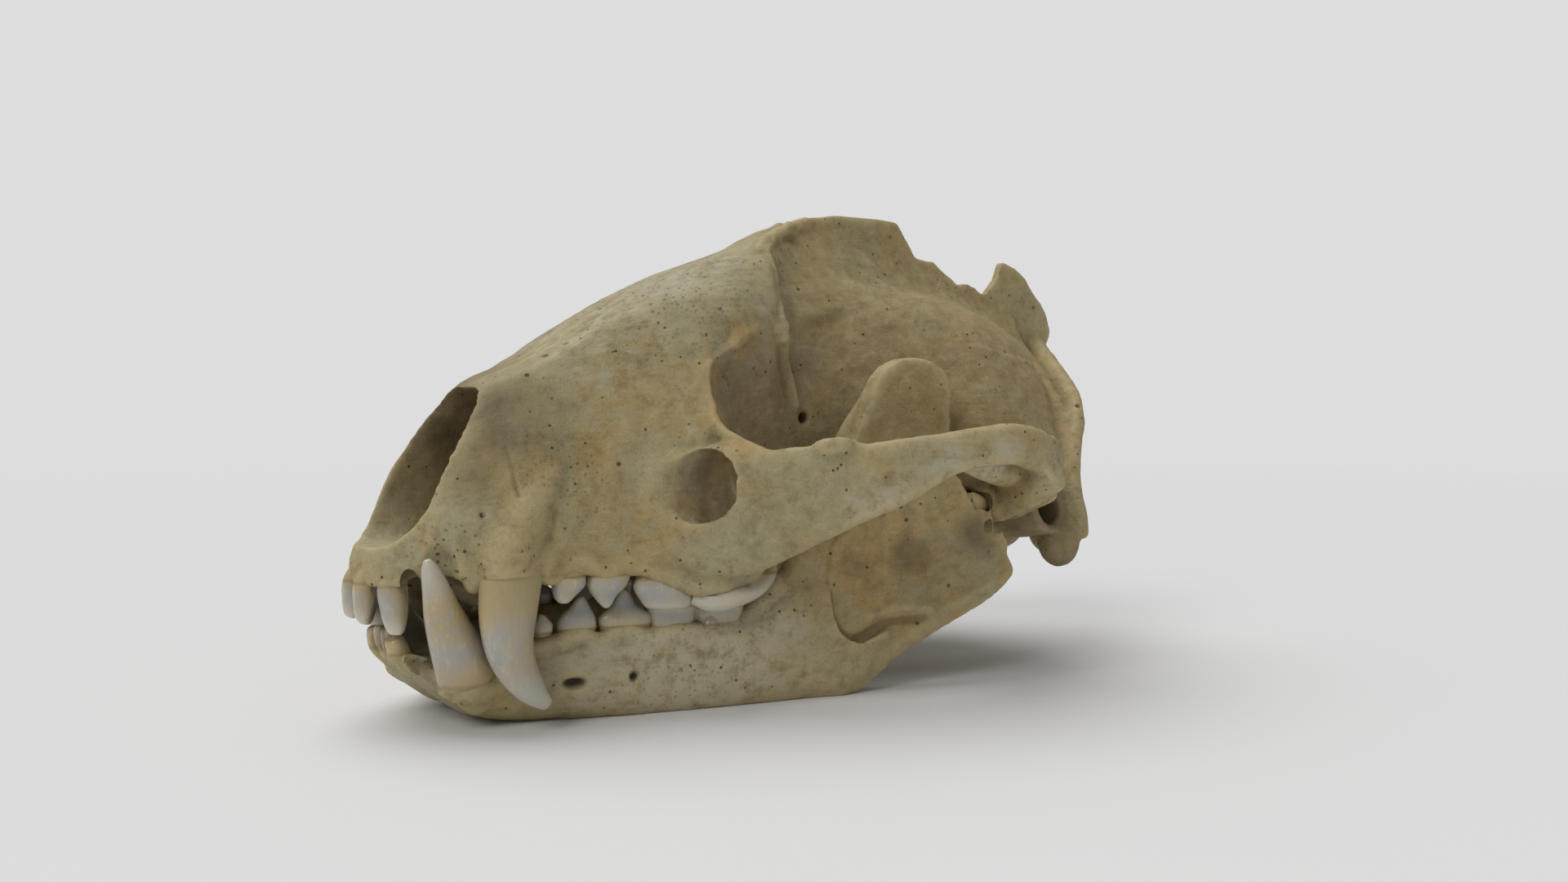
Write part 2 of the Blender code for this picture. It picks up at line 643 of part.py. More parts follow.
def ridges(table):
    """Round rods along smooth paths, each row of which ends in a radius."""
    found = []
    for name, (up, rows) in table.items():
        rows = smooth_path(rows, RIDGE_STEPS)
        found.append(sweep(name, np.column_stack([rows, rows[:, 3]]), RIDGE_SIDES, up))
    return found


def rods(table):
    return [sweep(name, rows) for name, rows in table.items()]


def lumps(table):
    return [ellipsoid(name, *row) for name, row in table.items()]


def plate(name, outline, place, thickness):
    """A flat plate: its outline is given in two numbers, which place turns to a point and a direction."""
    bm = bmesh.new()
    faces = []
    for side in (-0.5, 0.5):
        corners = []
        for along, height in outline:
            point, across = place(along, height)
            corners.append(bm.verts.new(np.array(point) + np.array(across) * thickness * side))
        faces.append(corners)
    for i in range(len(outline)):
        j = (i + 1) % len(outline)
        bm.faces.new((faces[0][i], faces[0][j], faces[1][j], faces[1][i]))
    for corners in faces:
        bmesh.ops.triangulate(bm, faces=[bm.faces.new(corners)])
    return add_object(name, bm)


def mirrored(item):
    """The same piece on the animal's right."""
    bm = bmesh.new()
    bm.from_mesh(item.data)
    bm.transform(Matrix.Scale(-1.0, 4, (1.0, 0.0, 0.0)))
    return add_object(item.name + "_right", bm)


def both_sides(items):
    return items + [mirrored(item) for item in items]


def joined(name, items):
    """All the pieces in one mesh, each still a surface of its own."""
    bm = bmesh.new()
    for item in items:
        bm.from_mesh(item.data)
        bpy.data.objects.remove(item, do_unlink=True)
    return add_object(name, bm)


def settle(item):
    """Makes the result of the modifiers the object's own mesh."""
    graph = bpy.context.evaluated_depsgraph_get()
    mesh = bpy.data.meshes.new_from_object(item.evaluated_get(graph))
    item.modifiers.clear()
    item.data = mesh


def fused(item, grid, smoothing):
    """One skin round all the overlapping surfaces, softened a little as bone is."""
    remesh = item.modifiers.new("skin", "REMESH")
    remesh.mode = "VOXEL"
    remesh.voxel_size = grid
    if smoothing:
        soften = item.modifiers.new("soften", "SMOOTH")
        soften.factor = 0.5
        soften.iterations = smoothing
    settle(item)


def thinned(item, triangles):
    """Fewer triangles, with the shape kept as well as they can."""
    item.data.calc_loop_triangles()
    decimate = item.modifiers.new("thin", "DECIMATE")
    decimate.ratio = min(1.0, triangles / len(item.data.loop_triangles))
    decimate.use_collapse_triangulate = True
    settle(item)


def combine(item, others, operation):
    """Adds, cuts away or keeps the common part of the other pieces, which are then removed."""
    group = bpy.data.collections.new("pieces")
    bpy.context.scene.collection.children.link(group)
    for other in others:
        group.objects.link(other)
    change = item.modifiers.new("combine", "BOOLEAN")
    change.operation = operation
    change.operand_type = "COLLECTION"
    change.collection = group
    change.solver = "MANIFOLD"
    settle(item)
    for other in others:
        bpy.data.objects.remove(other, do_unlink=True)
    bpy.data.collections.remove(group)


def keep_largest(item):
    """Leaves only the largest closed surface."""
    bm = bmesh.new()
    bm.from_mesh(item.data)
    bm.verts.ensure_lookup_table()
    seen = set()
    groups = []
    for start in bm.verts:
        if start in seen:
            continue
        group = []
        waiting = [start]
        seen.add(start)
        while waiting:
            vert = waiting.pop()
            group.append(vert)
            for edge in vert.link_edges:
                other = edge.other_vert(vert)
                if other not in seen:
                    seen.add(other)
                    waiting.append(other)
        groups.append(group)
    groups.sort(key=len)
    for group in groups[:-1]:
        bmesh.ops.delete(bm, geom=group, context="VERTS")
    bm.to_mesh(item.data)
    bm.free()


def copied(name, item):
    twin = bpy.data.objects.new(name, item.data.copy())
    bpy.context.scene.collection.objects.link(twin)
    return twin


def cranium_ring(row):
    """One section of the cranium, both sides."""
    at, roof, brow_x, brow_z, side_x, side_z, edge_x, edge_z, base = row
    half = [
        (0.0, roof),
        (0.55 * brow_x, roof - 0.16 * (roof - brow_z)),
        (brow_x, brow_z),
        (side_x, side_z),
        (edge_x, edge_z),
        (0.7 * edge_x, 0.5 * (edge_z + base)),
        (0.0, base),
    ]
    other = [(-x, z) for x, z in half[-2:0:-1]]
    return [(x, at, z) for x, z in smooth_ring(half + other, 4)]


def cranium_body():
    rows = smooth_path(CRANIUM_SECTIONS, 3)
    return loft("body", [cranium_ring(row) for row in rows])


def rounded_section(at, middle, half_width, low, high, taper=0.0, corner=0.75, sides=16):
    """An upright section with rounded corners; taper narrows its lower half by that share."""
    centre = (low + high) / 2
    half_height = (high - low) / 2
    ring = []
    for k in range(sides):
        angle = 2 * math.pi * k / sides
        c, s = math.cos(angle), math.sin(angle)
        wide = half_width * (1.0 - taper * max(0.0, -s))
        x = middle + wide * math.copysign(abs(c) ** corner, c)
        z = centre + half_height * math.copysign(abs(s) ** corner, s)
        ring.append((x, at, z))
    return ring


def cheek_arch():
    rows = smooth_path(ARCH_SECTIONS, 3)
    rings = []
    for i, (at, outer, low, high, thick) in enumerate(rows):
        before = rows[max(i - 1, 0)]
        after = rows[min(i + 1, len(rows) - 1)]
        turn = math.atan2(after[1] - before[1], after[0] - before[0])
        ring = []
        for x, y, z in rounded_section(0.0, 0.0, thick / 2, low, high):
            ring.append((outer - thick / 2 + x * math.cos(turn), at - x * math.sin(turn), z))
        rings.append(ring)
    return loft("arch", rings)


def crest():
    """The thin plate of the sagittal crest and the hollow-sided foot on which it stands."""
    outline = CREST_EDGE + CREST_BURIED_EDGE
    blade = plate("blade", outline, lambda at, z: ((0.0, at, z), SIDEWAYS), CREST_THICKNESS)
    rings = []
    for at, heights in CREST_FOOT:
        half = list(zip(CREST_FOOT_WIDTHS, heights))
        half.append((0.8 * CREST_FOOT_WIDTHS[-1], heights[-1] - 6.0))
        rings.append([(-x, at, z) for x, z in reversed(half)] + [(x, at, z) for x, z in half])
    return [blade, loft("crest_foot", rings)]


def pterygoid():
    """The hooked plate behind the palate."""
    return plate("pterygoid", PTERYGOID, lambda at, z: ((PTERYGOID_X, at, z), SIDEWAYS), PTERYGOID_THICKNESS)


def nose_opening():
    """The pear-shaped room behind the opening of the nose, narrowing inwards."""
    profile = smooth_ring(NOSE_OPENING + [(-x, z) for x, z in NOSE_OPENING[-2:0:-1]], 2)
    rings = []
    for at, size in NOSE_DEPTHS:
        rings.append([(x * size, at, NOSE_MIDDLE_Z + (z - NOSE_MIDDLE_Z) * size) for x, z in profile])
    return loft("nose", rings)


def cranium_cutters():
    """What is cut from the cranium: the nose, orbits, brain room, ear and joint openings."""
    paired = both_sides(rods(SIDE_RODS_CUT) + lumps(SIDE_LUMPS_CUT))
    return paired + rods(MIDDLE_RODS_CUT) + lumps(MIDDLE_LUMPS_CUT) + [nose_opening()]


def nose_bones():
    """The curled bones inside the nose and the wall between its two halves."""
    scrolls = []
    for height, x, radius, start in NOSE_SCROLLS:
        scrolls.append(sweep("scroll", [
            (x, start, height, 0.6 * radius, 0.5 * radius),
            (x - 0.3, start + 1.0, height + 0.1, radius, 0.8 * radius),
            (x - 0.6, NOSE_SCROLL_END, height + NOSE_SCROLL_RISE, radius, radius),
        ]))
    wall = plate("septum", SEPTUM, lambda at, z: ((0.0, at, z), SIDEWAYS), SEPTUM_THICKNESS)
    return both_sides(scrolls) + [wall]


def build_cranium():
    sides = ridges(CRANIUM_RIDGES) + rods(CRANIUM_RODS) + lumps(CRANIUM_LUMPS)
    sides += [cheek_arch(), pterygoid()]
    cranium = joined("cranium", [cranium_body()] + crest() + both_sides(sides))
    fused(cranium, UNION_GRID, UNION_SOFTENING)
    combine(cranium, cranium_cutters(), "DIFFERENCE")
    cranium = joined("cranium", [cranium] + nose_bones())
    fused(cranium, FINISH_GRID, FINISH_SOFTENING)
    keep_largest(cranium)
    return cranium


def ramus_place(at, height, inward=0.0):
    """Where the rising branch lies: it spreads outwards to the rear and leans out at its top."""
    foot_x, foot_at = RAMUS_FOOT
    x = foot_x + RAMUS_SPREAD * (at - foot_at) + RAMUS_LEAN * max(height - RAMUS_LEAN_FROM, 0.0)
    return (x - inward, at, height), SIDEWAYS


def hollow_place(at, height):
    """The same, moved outwards so that a plate there bites into the branch's outer face."""
    (x, y, z), across = ramus_place(at, height)
    return (x + RAMUS_THICKNESS - MUSCLE_HOLLOW_DEPTH, y, z), across


def ramus_ridges():
    """The thicker edges of the rising branch and the neck that carries the condyle."""
    table = {}
    for name, (up, rows) in RAMUS_RIDGES.items():
        table[name] = (up, [(*ramus_place(at, z, inward)[0], radius) for at, z, radius, inward in rows])
    return ridges(table)


def jaw_half():
    """The left half of the lower jaw, a little past the middle, without its teeth."""
    rows = smooth_path(JAW_SECTIONS, 3)
    body = loft("jaw_body", [rounded_section(*row, np.interp(row[0], *CHIN_TAPER)) for row in rows])
    branch = plate("branch", smooth_ring(RAMUS_OUTLINE, 3), ramus_place, RAMUS_THICKNESS)
    condyle = ellipsoid("condyle", CONDYLE_CENTRE, CONDYLE_HALF, CONDYLE_TILT, "Y")
    half = joined("jaw_half", [body, branch, condyle] + ramus_ridges() + ridges(JAW_RIDGES))
    fused(half, FINISH_GRID, FINISH_SOFTENING)
    hollow = plate("muscle_hollow", smooth_ring(MUSCLE_HOLLOW, 3), hollow_place, RAMUS_THICKNESS)
    combine(half, [hollow], "DIFFERENCE")
    fused(half, FINISH_GRID, FINISH_SOFTENING)
    keep_largest(half)
    return half


def oval(x, at, z, half_x, half_at, turn=0.0, corner=1.0):
    """A level section of a tooth, turned about the upright; corner under 1 makes it squarer."""
    ring = []
    for k in range(TOOTH_SIDES):
        angle = 2 * math.pi * k / TOOTH_SIDES
        c, s = math.cos(angle), math.sin(angle)
        across = half_x * math.copysign(abs(c) ** corner, c)
        along = half_at * math.copysign(abs(s) ** corner, s)
        ring.append((x + across * math.cos(turn) + along * math.sin(turn),
                     at - across * math.sin(turn) + along * math.cos(turn), z))
    return ring


def premolar(x, thick, levels):
    """A crown pressed flat from the sides, thickest at its collar, on a root sunk into the jaw."""
    gum, front, rear = levels[0]
    middle = (front + rear) / 2
    longest = max(back - fore for _, fore, back in levels)
    away = math.copysign(CROWN_ROOT, gum - levels[-1][0])
    rings = [oval(x - ROOT_INWARD, middle, gum + away, 0.3 * thick, 0.32 * (rear - front), ROW_TURN)]
    for z, fore, back in smooth_path(levels, TOOTH_STEPS):
        width = thick * (0.14 + 0.86 * (back - fore) / longest)
        place = x + ((fore + back) / 2 - middle) * math.tan(ROW_TURN)
        rings.append(oval(place, (fore + back) / 2, z, width / 2, (back - fore) / 2, ROW_TURN))
    return loft("premolar", rings)


def canine(rows):
    rows = smooth_path(rows, TOOTH_STEPS)
    return sweep("canine", rows[:, [0, 1, 2, 4, 3]], TOOTH_SIDES, BACKWARDS)


def incisor(root, gum, tip, half_width, half_depth, end=None):
    """A peg with a spade-like crown; end cuts it short where it is worn."""
    root, gum, tip = (np.array(point) for point in (root, gum, tip))
    if end is not None:
        tip = gum + (tip - gum) * (end - gum[2]) / (tip[2] - gum[2])
    path = np.array([root, gum, gum + (tip - gum) * 0.45, gum + (tip - gum) * 0.85, tip])
    widths = [half_width * f for f in (0.6, 0.8, 1.0, 1.0, 0.8)]
    depths = [half_depth * f for f in (0.7, 0.95, 0.9, 0.6, 0.3)]
    if end is not None:
        depths[3:] = [half_depth * 0.8, half_depth * 0.7]
    rows = smooth_path(np.column_stack([path, widths, depths]), TOOTH_STEPS)
    return sweep("incisor", rows, TOOTH_SIDES, BACKWARDS)


def cusp(x, at, tip, rise, radius=1.9):
    """A low cone on a molar's face."""
    shares = smooth_path([(1.0, 1.0), (0.6, 0.8), (0.25, 0.5), (0.0, 0.16)], 3)
    return loft("cusp", [oval(x, at, tip + rise * f, radius * r, radius * r) for f, r in shares])


def upper_molar():
    """The square crown, sloping on its chewing face, with its outer wall and cusps."""
    (x, at), (half_x, half_at) = UPPER_MOLAR_CENTRE, UPPER_MOLAR_HALF
    rings = []
    for z, size in ((UPPER_MOLAR_ROOT, 0.8), (UPPER_MOLAR_GUM, 0.94)):
        rings.append(oval(x, at, z, half_x * size, half_at * size, ROW_TURN, 0.7))
    for bevel, size in ((UPPER_MOLAR_BEVEL, 1.0), (0.0, 0.86)):
        ring = []
        for px, py, _ in oval(x, at, 0.0, half_x * size, half_at * size, ROW_TURN, 0.7):
            share = (py - at + half_at) / (2 * half_at)
            ring.append((px, py, np.interp(share, (0.0, 1.0), UPPER_MOLAR_FACE) + bevel))
        rings.append(ring)
    wall = sweep("molar_wall", smooth_path(UPPER_MOLAR_WALL, TOOTH_STEPS), TOOTH_SIDES)
    return [loft("molar", rings), wall] + [cusp(cx, cy, tip, 2.4) for cx, cy, tip in UPPER_MOLAR_CUSPS]


def lower_molars():
    pieces = []
    for (x, at), (half_x, half_at), top in LOWER_MOLARS:
        rings = []
        for z, size in ((LOWER_MOLAR_ROOT, 0.75), (top - 1.6, 0.95), (top - 0.7, 1.0), (top, 0.82)):
            rings.append(oval(x, at, z, half_x * size, half_at * size, ROW_TURN, 0.75))
        pieces.append(loft("lower_molar", rings))
    return pieces + [cusp(cx, cy, tip, -2.4, 1.5) for cx, cy, tip in LOWER_MOLAR_CUSPS]


def upper_teeth(left):
    teeth = [premolar(*row) for row in UPPER_PREMOLARS] + [canine(UPPER_CANINE)] + upper_molar()
    return teeth + [incisor(*row) for row in (UPPER_INCISORS[:2] if left else UPPER_INCISORS)]


def lower_teeth(left):
    teeth = [premolar(*row) for row in LOWER_PREMOLARS] + [canine(LOWER_CANINE)] + lower_molars()
    teeth.append(incisor(*LOWER_INCISORS[0]))
    teeth.append(incisor(*LOWER_INCISORS[1], STUMP_HEIGHT if left else None))
    if not left:
        teeth.append(incisor(*LOWER_INCISORS[2]))
    return teeth


def mirror_all(items):
    """Moves the pieces to the animal's right."""
    moved = [mirrored(item) for item in items]
    for item in items:
        bpy.data.objects.remove(item, do_unlink=True)
    return moved


def grown(outline, by):
    """An outline with each side moved out by the same amount; it runs anticlockwise."""
    points = np.array(outline, float)
    found = []
    for i in range(len(points)):
        before, here, after = points[i - 1], points[i], points[(i + 1) % len(points)]
        first, second = here - before, after - here
        n1 = np.array([first[1], -first[0]]) / np.linalg.norm(first)
        n2 = np.array([second[1], -second[0]]) / np.linalg.norm(second)
        found.append(here + (n1 + n2) * by / (1 + n1 @ n2))
    return found


def side_block(outline, reach, by):
    """A block across the skull over an outline seen from the side, in distance and height."""
    outline = grown(outline, by)
    return loft("block", [[(x, at, z) for at, z in outline] for x in (-reach - by, reach + by)])


def plan_block(outline, low, high, by):
    """An upright block over an outline on the plan, in x and distance."""
    outline = grown(outline, by)
    return loft("block", [[(x, at, z) for x, at in outline] for z in (low - by, high + by)])


def part_off(body, name, make_block):
    """Takes one bone off the body, with the gap between them taken from the body."""
    piece = copied(name, body)
    combine(piece, [make_block(0.0)], "INTERSECT")
    combine(body, [make_block(GAP)], "DIFFERENCE")
    keep_largest(piece)
    return piece


def part_across(body, name, outline, reach=WHOLE_REACH):
    return part_off(body, name, lambda by: side_block(outline, reach, by))


def part_down(body, name, outline, heights):
    return part_off(body, name, lambda by: plan_block(outline, *heights, by))


def part_cranium(cranium):
    bones = [part_across(cranium, "sagittal_crest", CREST_BLOCK, CREST_REACH)]
    for side, sign in (("left", 1), ("right", -1)):
        arch = [(sign * x, at) for x, at in ARCH_BLOCK][::sign]
        bulla = [(sign * x, at) for x, at in BULLA_BLOCK][::sign]
        bones.append(part_down(cranium, "zygomatic_arch_" + side, arch, ARCH_HEIGHTS))
        bones.append(part_down(cranium, "auditory_bulla_" + side, bulla, BULLA_HEIGHTS))
    bones.append(part_across(cranium, "snout", SNOUT_BLOCK))
    bones.append(part_across(cranium, "forehead", FOREHEAD_BLOCK))
    bones.append(part_across(cranium, "occiput", OCCIPUT_BLOCK))
    keep_largest(cranium)
    cranium.name = "braincase"
    return bones + [cranium]


def cut_socket(item, place):
    """Empties the socket of a lost tooth."""
    combine(item, [ellipsoid("lost", place, LOST_SOCKET_HALF)], "DIFFERENCE")


def lower_jaw():
    """The two halves of the lower jaw, flat where they meet and flat on the floor."""
    left = jaw_half()
    thinned(left, JAW_WORKING_TRIANGLES)
    combine(left, [plan_block(LEFT_HALF, *LEFT_HALF_HEIGHTS, 0.0)], "INTERSECT")
    thinned(left, TRIANGLES["mandible"])
    combine(left, [plan_block(FLOOR_AREA, JAW_BORDER_Z - FLOOR_DEPTH, JAW_BORDER_Z, 0.0)], "DIFFERENCE")
    left.name = "mandible_left"
    right = mirrored(left)
    right.name = "mandible_right"
    return left, right


def finish(item):
    """Turns a bone to metres, puts it in place and gives it its surface."""
    shift = Matrix.Translation((0.0, -SKULL_MIDDLE, -JAW_BORDER_Z))
    item.data.name = item.name
    item.data.transform(Matrix.Diagonal((METRES, METRES, METRES, 1.0)) @ shift)
    surface = bpy.data.materials.new(item.name)
    surface.use_nodes = True
    shader = surface.node_tree.nodes["Principled BSDF"]
    shader.inputs["Base Color"].default_value = BONE_COLOUR
    shader.inputs["Roughness"].default_value = BONE_ROUGHNESS
    shader.inputs["Metallic"].default_value = 0.0
    item.data.materials.clear()
    item.data.materials.append(surface)
    item.data.shade_smooth()
    item.data.set_sharp_from_angle(angle=SHARP_ANGLE)


def main():
    clear_scene()
    cranium = build_cranium()
    thinned(cranium, CRANIUM_WORKING_TRIANGLES)
    bones = {item.name: item for item in part_cranium(cranium)}
    for name, item in bones.items():
        budget = next(count for start, count in TRIANGLES.items() if name.startswith(start))
        thinned(item, budget)
    left, right = lower_jaw()
    cut_socket(bones["snout"], LOST_SOCKETS["upper"])
    cut_socket(left, LOST_SOCKETS["lower"])
    combine(bones["snout"], upper_teeth(True) + mirror_all(upper_teeth(False)), "UNION")
    combine(left, lower_teeth(True), "UNION")
    combine(right, mirror_all(lower_teeth(False)), "UNION")
    for item in list(bones.values()) + [left, right]:
        keep_largest(item)
        finish(item)


main()
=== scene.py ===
"""Badger skull: the bones' fine forms, the enamel of the teeth and the surfaces of both.

The nose points to -Y, the animal's left side is +X and Z is up. Shapes are worked out in millimetres,
measured from the front of the upper jaw at the height of the tooth sockets, and then turned to metres.
"""

import itertools
import math
import statistics

import bmesh
import bpy
import numpy as np
from mathutils import Matrix, Vector
from mathutils.bvhtree import BVHTree
from mathutils.kdtree import KDTree


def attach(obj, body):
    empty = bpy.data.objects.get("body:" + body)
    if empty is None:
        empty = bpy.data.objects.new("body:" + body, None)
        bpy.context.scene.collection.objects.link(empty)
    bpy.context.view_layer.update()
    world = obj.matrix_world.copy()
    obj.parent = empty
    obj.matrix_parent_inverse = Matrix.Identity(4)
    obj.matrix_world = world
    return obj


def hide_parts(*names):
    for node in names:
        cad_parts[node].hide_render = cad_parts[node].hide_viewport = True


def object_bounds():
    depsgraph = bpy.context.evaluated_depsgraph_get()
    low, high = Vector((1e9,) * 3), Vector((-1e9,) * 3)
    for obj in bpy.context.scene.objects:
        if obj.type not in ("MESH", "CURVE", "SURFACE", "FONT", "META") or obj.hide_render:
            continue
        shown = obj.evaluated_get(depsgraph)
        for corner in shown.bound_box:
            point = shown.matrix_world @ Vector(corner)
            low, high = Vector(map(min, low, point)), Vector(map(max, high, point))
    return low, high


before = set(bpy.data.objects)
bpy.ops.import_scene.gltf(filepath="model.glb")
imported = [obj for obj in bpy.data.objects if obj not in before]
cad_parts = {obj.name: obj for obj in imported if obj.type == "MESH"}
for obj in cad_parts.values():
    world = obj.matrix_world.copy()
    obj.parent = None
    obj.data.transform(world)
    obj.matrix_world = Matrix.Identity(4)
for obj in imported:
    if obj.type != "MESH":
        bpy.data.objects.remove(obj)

SOLID_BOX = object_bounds()

METRES = 0.001
JAW_BORDER_Z = -20.2
SKULL_MIDDLE = 66.4
GAP = 0.3
UNION_GRID = 0.45
FINISH_GRID = 0.36
UNION_SOFTENING = 4
FINISH_SOFTENING = 6
TOOTH_GRID = 0.2
TOOTH_SOFTENING = 3
TOOTH_SIDES = 30
TOOTH_STEPS = 5
ROD_SIDES = 16
RIDGE_STEPS = 4
SECTION_STEPS = 3
RING_STEPS = 4
OUTLINE_STEPS = 3
NOSE_RING_STEPS = 2
LUMP_SEGMENTS = (24, 14)
LEFT_HALF = [(GAP / 2, -10.0), (60.0, -10.0), (60.0, 110.0), (GAP / 2, 110.0)]
LEFT_HALF_HEIGHTS = (-40.0, 60.0)

# Sections of the cranium from the nose back: distance, roof height, brow (x, z), side (x, z),
# lower edge (x, z) and the height of the palate or skull base on the midline.
CRANIUM_SECTIONS = [
    (-0.4, 2.6, 1.6, 2.0, 2.6, 0.9, 2.2, -0.7, -0.6),
    (1.0, 6.2, 4.0, 4.8, 5.6, 2.0, 5.2, -0.7, -0.6),
    (3.5, 9.0, 6.5, 7.4, 8.4, 3.5, 8.4, -0.3, 0.3),
    (6.0, 12.4, 9.0, 10.0, 11.0, 5.0, 10.6, 0.6, 1.5),
    (9.0, 17.8, 11.0, 13.8, 13.2, 7.0, 13.0, 0.8, 2.5),
    (13.0, 24.2, 9.6, 19.4, 14.2, 9.0, 15.2, 0.8, 3.0),
    (17.0, 27.6, 7.8, 24.4, 14.4, 11.0, 16.2, 0.7, 3.2),
    (22.0, 29.7, 8.2, 26.6, 14.6, 12.0, 16.8, 0.8, 3.4),
    (28.0, 33.0, 9.0, 30.0, 15.2, 13.0, 17.2, 0.9, 3.6),
    (35.0, 37.0, 10.5, 33.5, 16.2, 15.0, 19.2, 0.2, 3.6),
    (41.0, 40.4, 12.0, 36.3, 18.4, 18.0, 21.4, -1.2, 3.4),
    (46.0, 42.8, 13.5, 37.5, 20.2, 20.0, 22.8, -1.8, 3.0),
    (51.0, 45.0, 14.4, 37.4, 15.0, 21.0, 22.4, -0.4, 2.8),
    (56.0, 46.6, 14.2, 38.0, 12.0, 21.0, 17.4, 1.8, 3.0),
    (61.0, 48.4, 13.0, 39.6, 11.2, 20.0, 10.5, 4.0, 3.4),
    (66.0, 50.7, 6.4, 44.6, 10.4, 24.0, 9.2, 5.0, 3.8),
    (71.0, 50.6, 5.2, 43.6, 11.2, 24.0, 9.0, 6.0, 4.4),
    (77.0, 47.4, 7.2, 40.6, 13.5, 22.0, 10.5, 7.0, 5.0),
    (84.0, 44.5, 14.0, 36.5, 19.0, 20.0, 14.5, 7.0, 5.4),
    (92.0, 43.0, 18.0, 34.5, 24.0, 18.0, 20.0, 6.0, 5.6),
    (100.0, 42.0, 19.0, 33.0, 26.2, 16.0, 23.0, 4.5, 5.4),
    (108.0, 40.0, 18.0, 31.0, 26.2, 13.0, 23.6, 3.0, 5.0),
    (114.0, 37.6, 16.4, 29.4, 23.0, 13.0, 20.4, 3.0, 4.4),
    (118.0, 35.0, 14.0, 27.0, 18.4, 14.0, 14.0, 3.4, 4.0),
    (121.4, 30.6, 9.6, 24.0, 11.0, 15.0, 7.4, 8.0, 6.4),
]

# The cheek arch from the upper jaw back to the jaw joint: distance, outer x, lower and upper edge
# and thickness.
ARCH_SECTIONS = [
    (36.0, 18.4, -0.4, 16.0, 5.0),
    (40.4, 21.6, -1.0, 17.6, 6.0),
    (45.0, 25.6, -0.8, 18.6, 6.6),
    (50.0, 29.4, 0.8, 17.6, 5.6),
    (56.0, 33.4, 4.4, 19.0, 4.4),
    (62.0, 36.4, 7.4, 18.4, 3.9),
    (69.0, 38.7, 10.6, 19.5, 3.6),
    (77.0, 39.5, 14.4, 20.2, 3.5),
    (86.0, 39.5, 15.0, 20.9, 3.6),
    (93.0, 38.8, 13.0, 20.0, 4.4),
    (98.0, 36.4, 10.5, 18.0, 6.5),
    (100.4, 31.0, 9.0, 17.0, 8.0),
]

# The pear-shaped opening of the nose seen from the front, its left half (x, z), and how far back it
# runs with what share of its size.
NOSE_OPENING = [
    (0.0, 26.4),
    (2.8, 26.6),
    (5.2, 25.9),
    (6.8, 23.8),
    (7.8, 20.4),
    (8.6, 16.8),
    (9.0, 13.4),
    (8.8, 10.4),
    (8.0, 7.8),
    (6.0, 5.6),
    (3.2, 4.9),
    (0.0, 4.9),
]
NOSE_MIDDLE_Z = 14.5
# The curled bones in it: height, x, radius and where each starts, where all end and how far they rise.
NOSE_SCROLLS = [(8.4, 5.6, 1.4, 15.4), (13.0, 4.8, 1.6, 19.4), (16.6, 3.2, 1.7, 19.6),
                (19.8, 4.6, 1.6, 20.4), (22.8, 2.4, 1.5, 19.6)]
NOSE_SCROLL_END = 31.0
NOSE_SCROLL_RISE = 1.6
# Their rounded front ends: how far on, inwards and up, then half a width and height as shares of the radius.
NOSE_SCROLL_TIP = [(0.0, 0.0, 0.0, 0.6, 0.5), (1.0, 0.3, 0.1, 1.0, 0.8)]
NOSE_SCROLL_INWARD = 0.6
# The wall between its halves seen from the side: distance and height.
SEPTUM = [(12.0, 5.6), (18.0, 9.0), (23.0, 24.5), (28.0, 26.0), (28.0, 7.0)]
SEPTUM_THICKNESS = 1.4
NOSE_DEPTHS = [(-6.0, 1.0), (12.0, 1.0), (18.0, 0.94), (24.0, 0.76), (29.0, 0.4)]

# The worn and broken edge of the sagittal crest: distance and height, from the forehead to the nape.
CREST_EDGE = [
    (68.0, 50.8),
    (76.0, 54.2),
    (83.0, 55.3),
    (95.7, 55.2),
    (98.9, 51.4),
    (100.4, 49.2),
    (104.3, 48.8),
    (107.0, 46.6),
    (110.2, 44.7),
    (112.8, 45.4),
    (116.7, 43.2),
    (119.8, 46.2),
    (121.2, 49.9),
    (124.6, 48.7),
    (127.2, 47.0),
    (132.5, 41.1),
    (134.1, 36.8),
    (131.9, 32.1),
]
CREST_THICKNESS = 1.9
CREST_BURIED_EDGE = [(128.0, 28.0), (100.0, 36.0), (80.0, 42.0), (68.0, 44.0)]

# The foot under the crest: at each distance, its height at these distances out from the middle.
CREST_FOOT_WIDTHS = [0.9, 2.0, 4.6, 8.6]
CREST_FOOT_SUNK_WIDTH = 0.8
CREST_FOOT_DEPTH = 6.0
CREST_FOOT = [
    (69.0, (51.0, 49.0, 45.2, 37.8)),
    (77.0, (53.0, 50.0, 45.6, 39.4)),
    (84.0, (53.0, 49.4, 45.4, 41.4)),
    (92.0, (51.0, 47.4, 44.2, 41.4)),
    (100.0, (47.6, 45.0, 42.6, 40.2)),
    (108.0, (44.4, 42.8, 40.6, 38.2)),
    (116.0, (42.0, 39.8, 37.6, 34.6)),
    (124.0, (40.0, 37.0, 33.6, 30.0)),
]

SIDEWAYS = (1.0, 0.0, 0.0)
BACKWARDS = (0.0, 1.0, 0.0)
UPWARDS = (0.0, 0.0, 1.0)

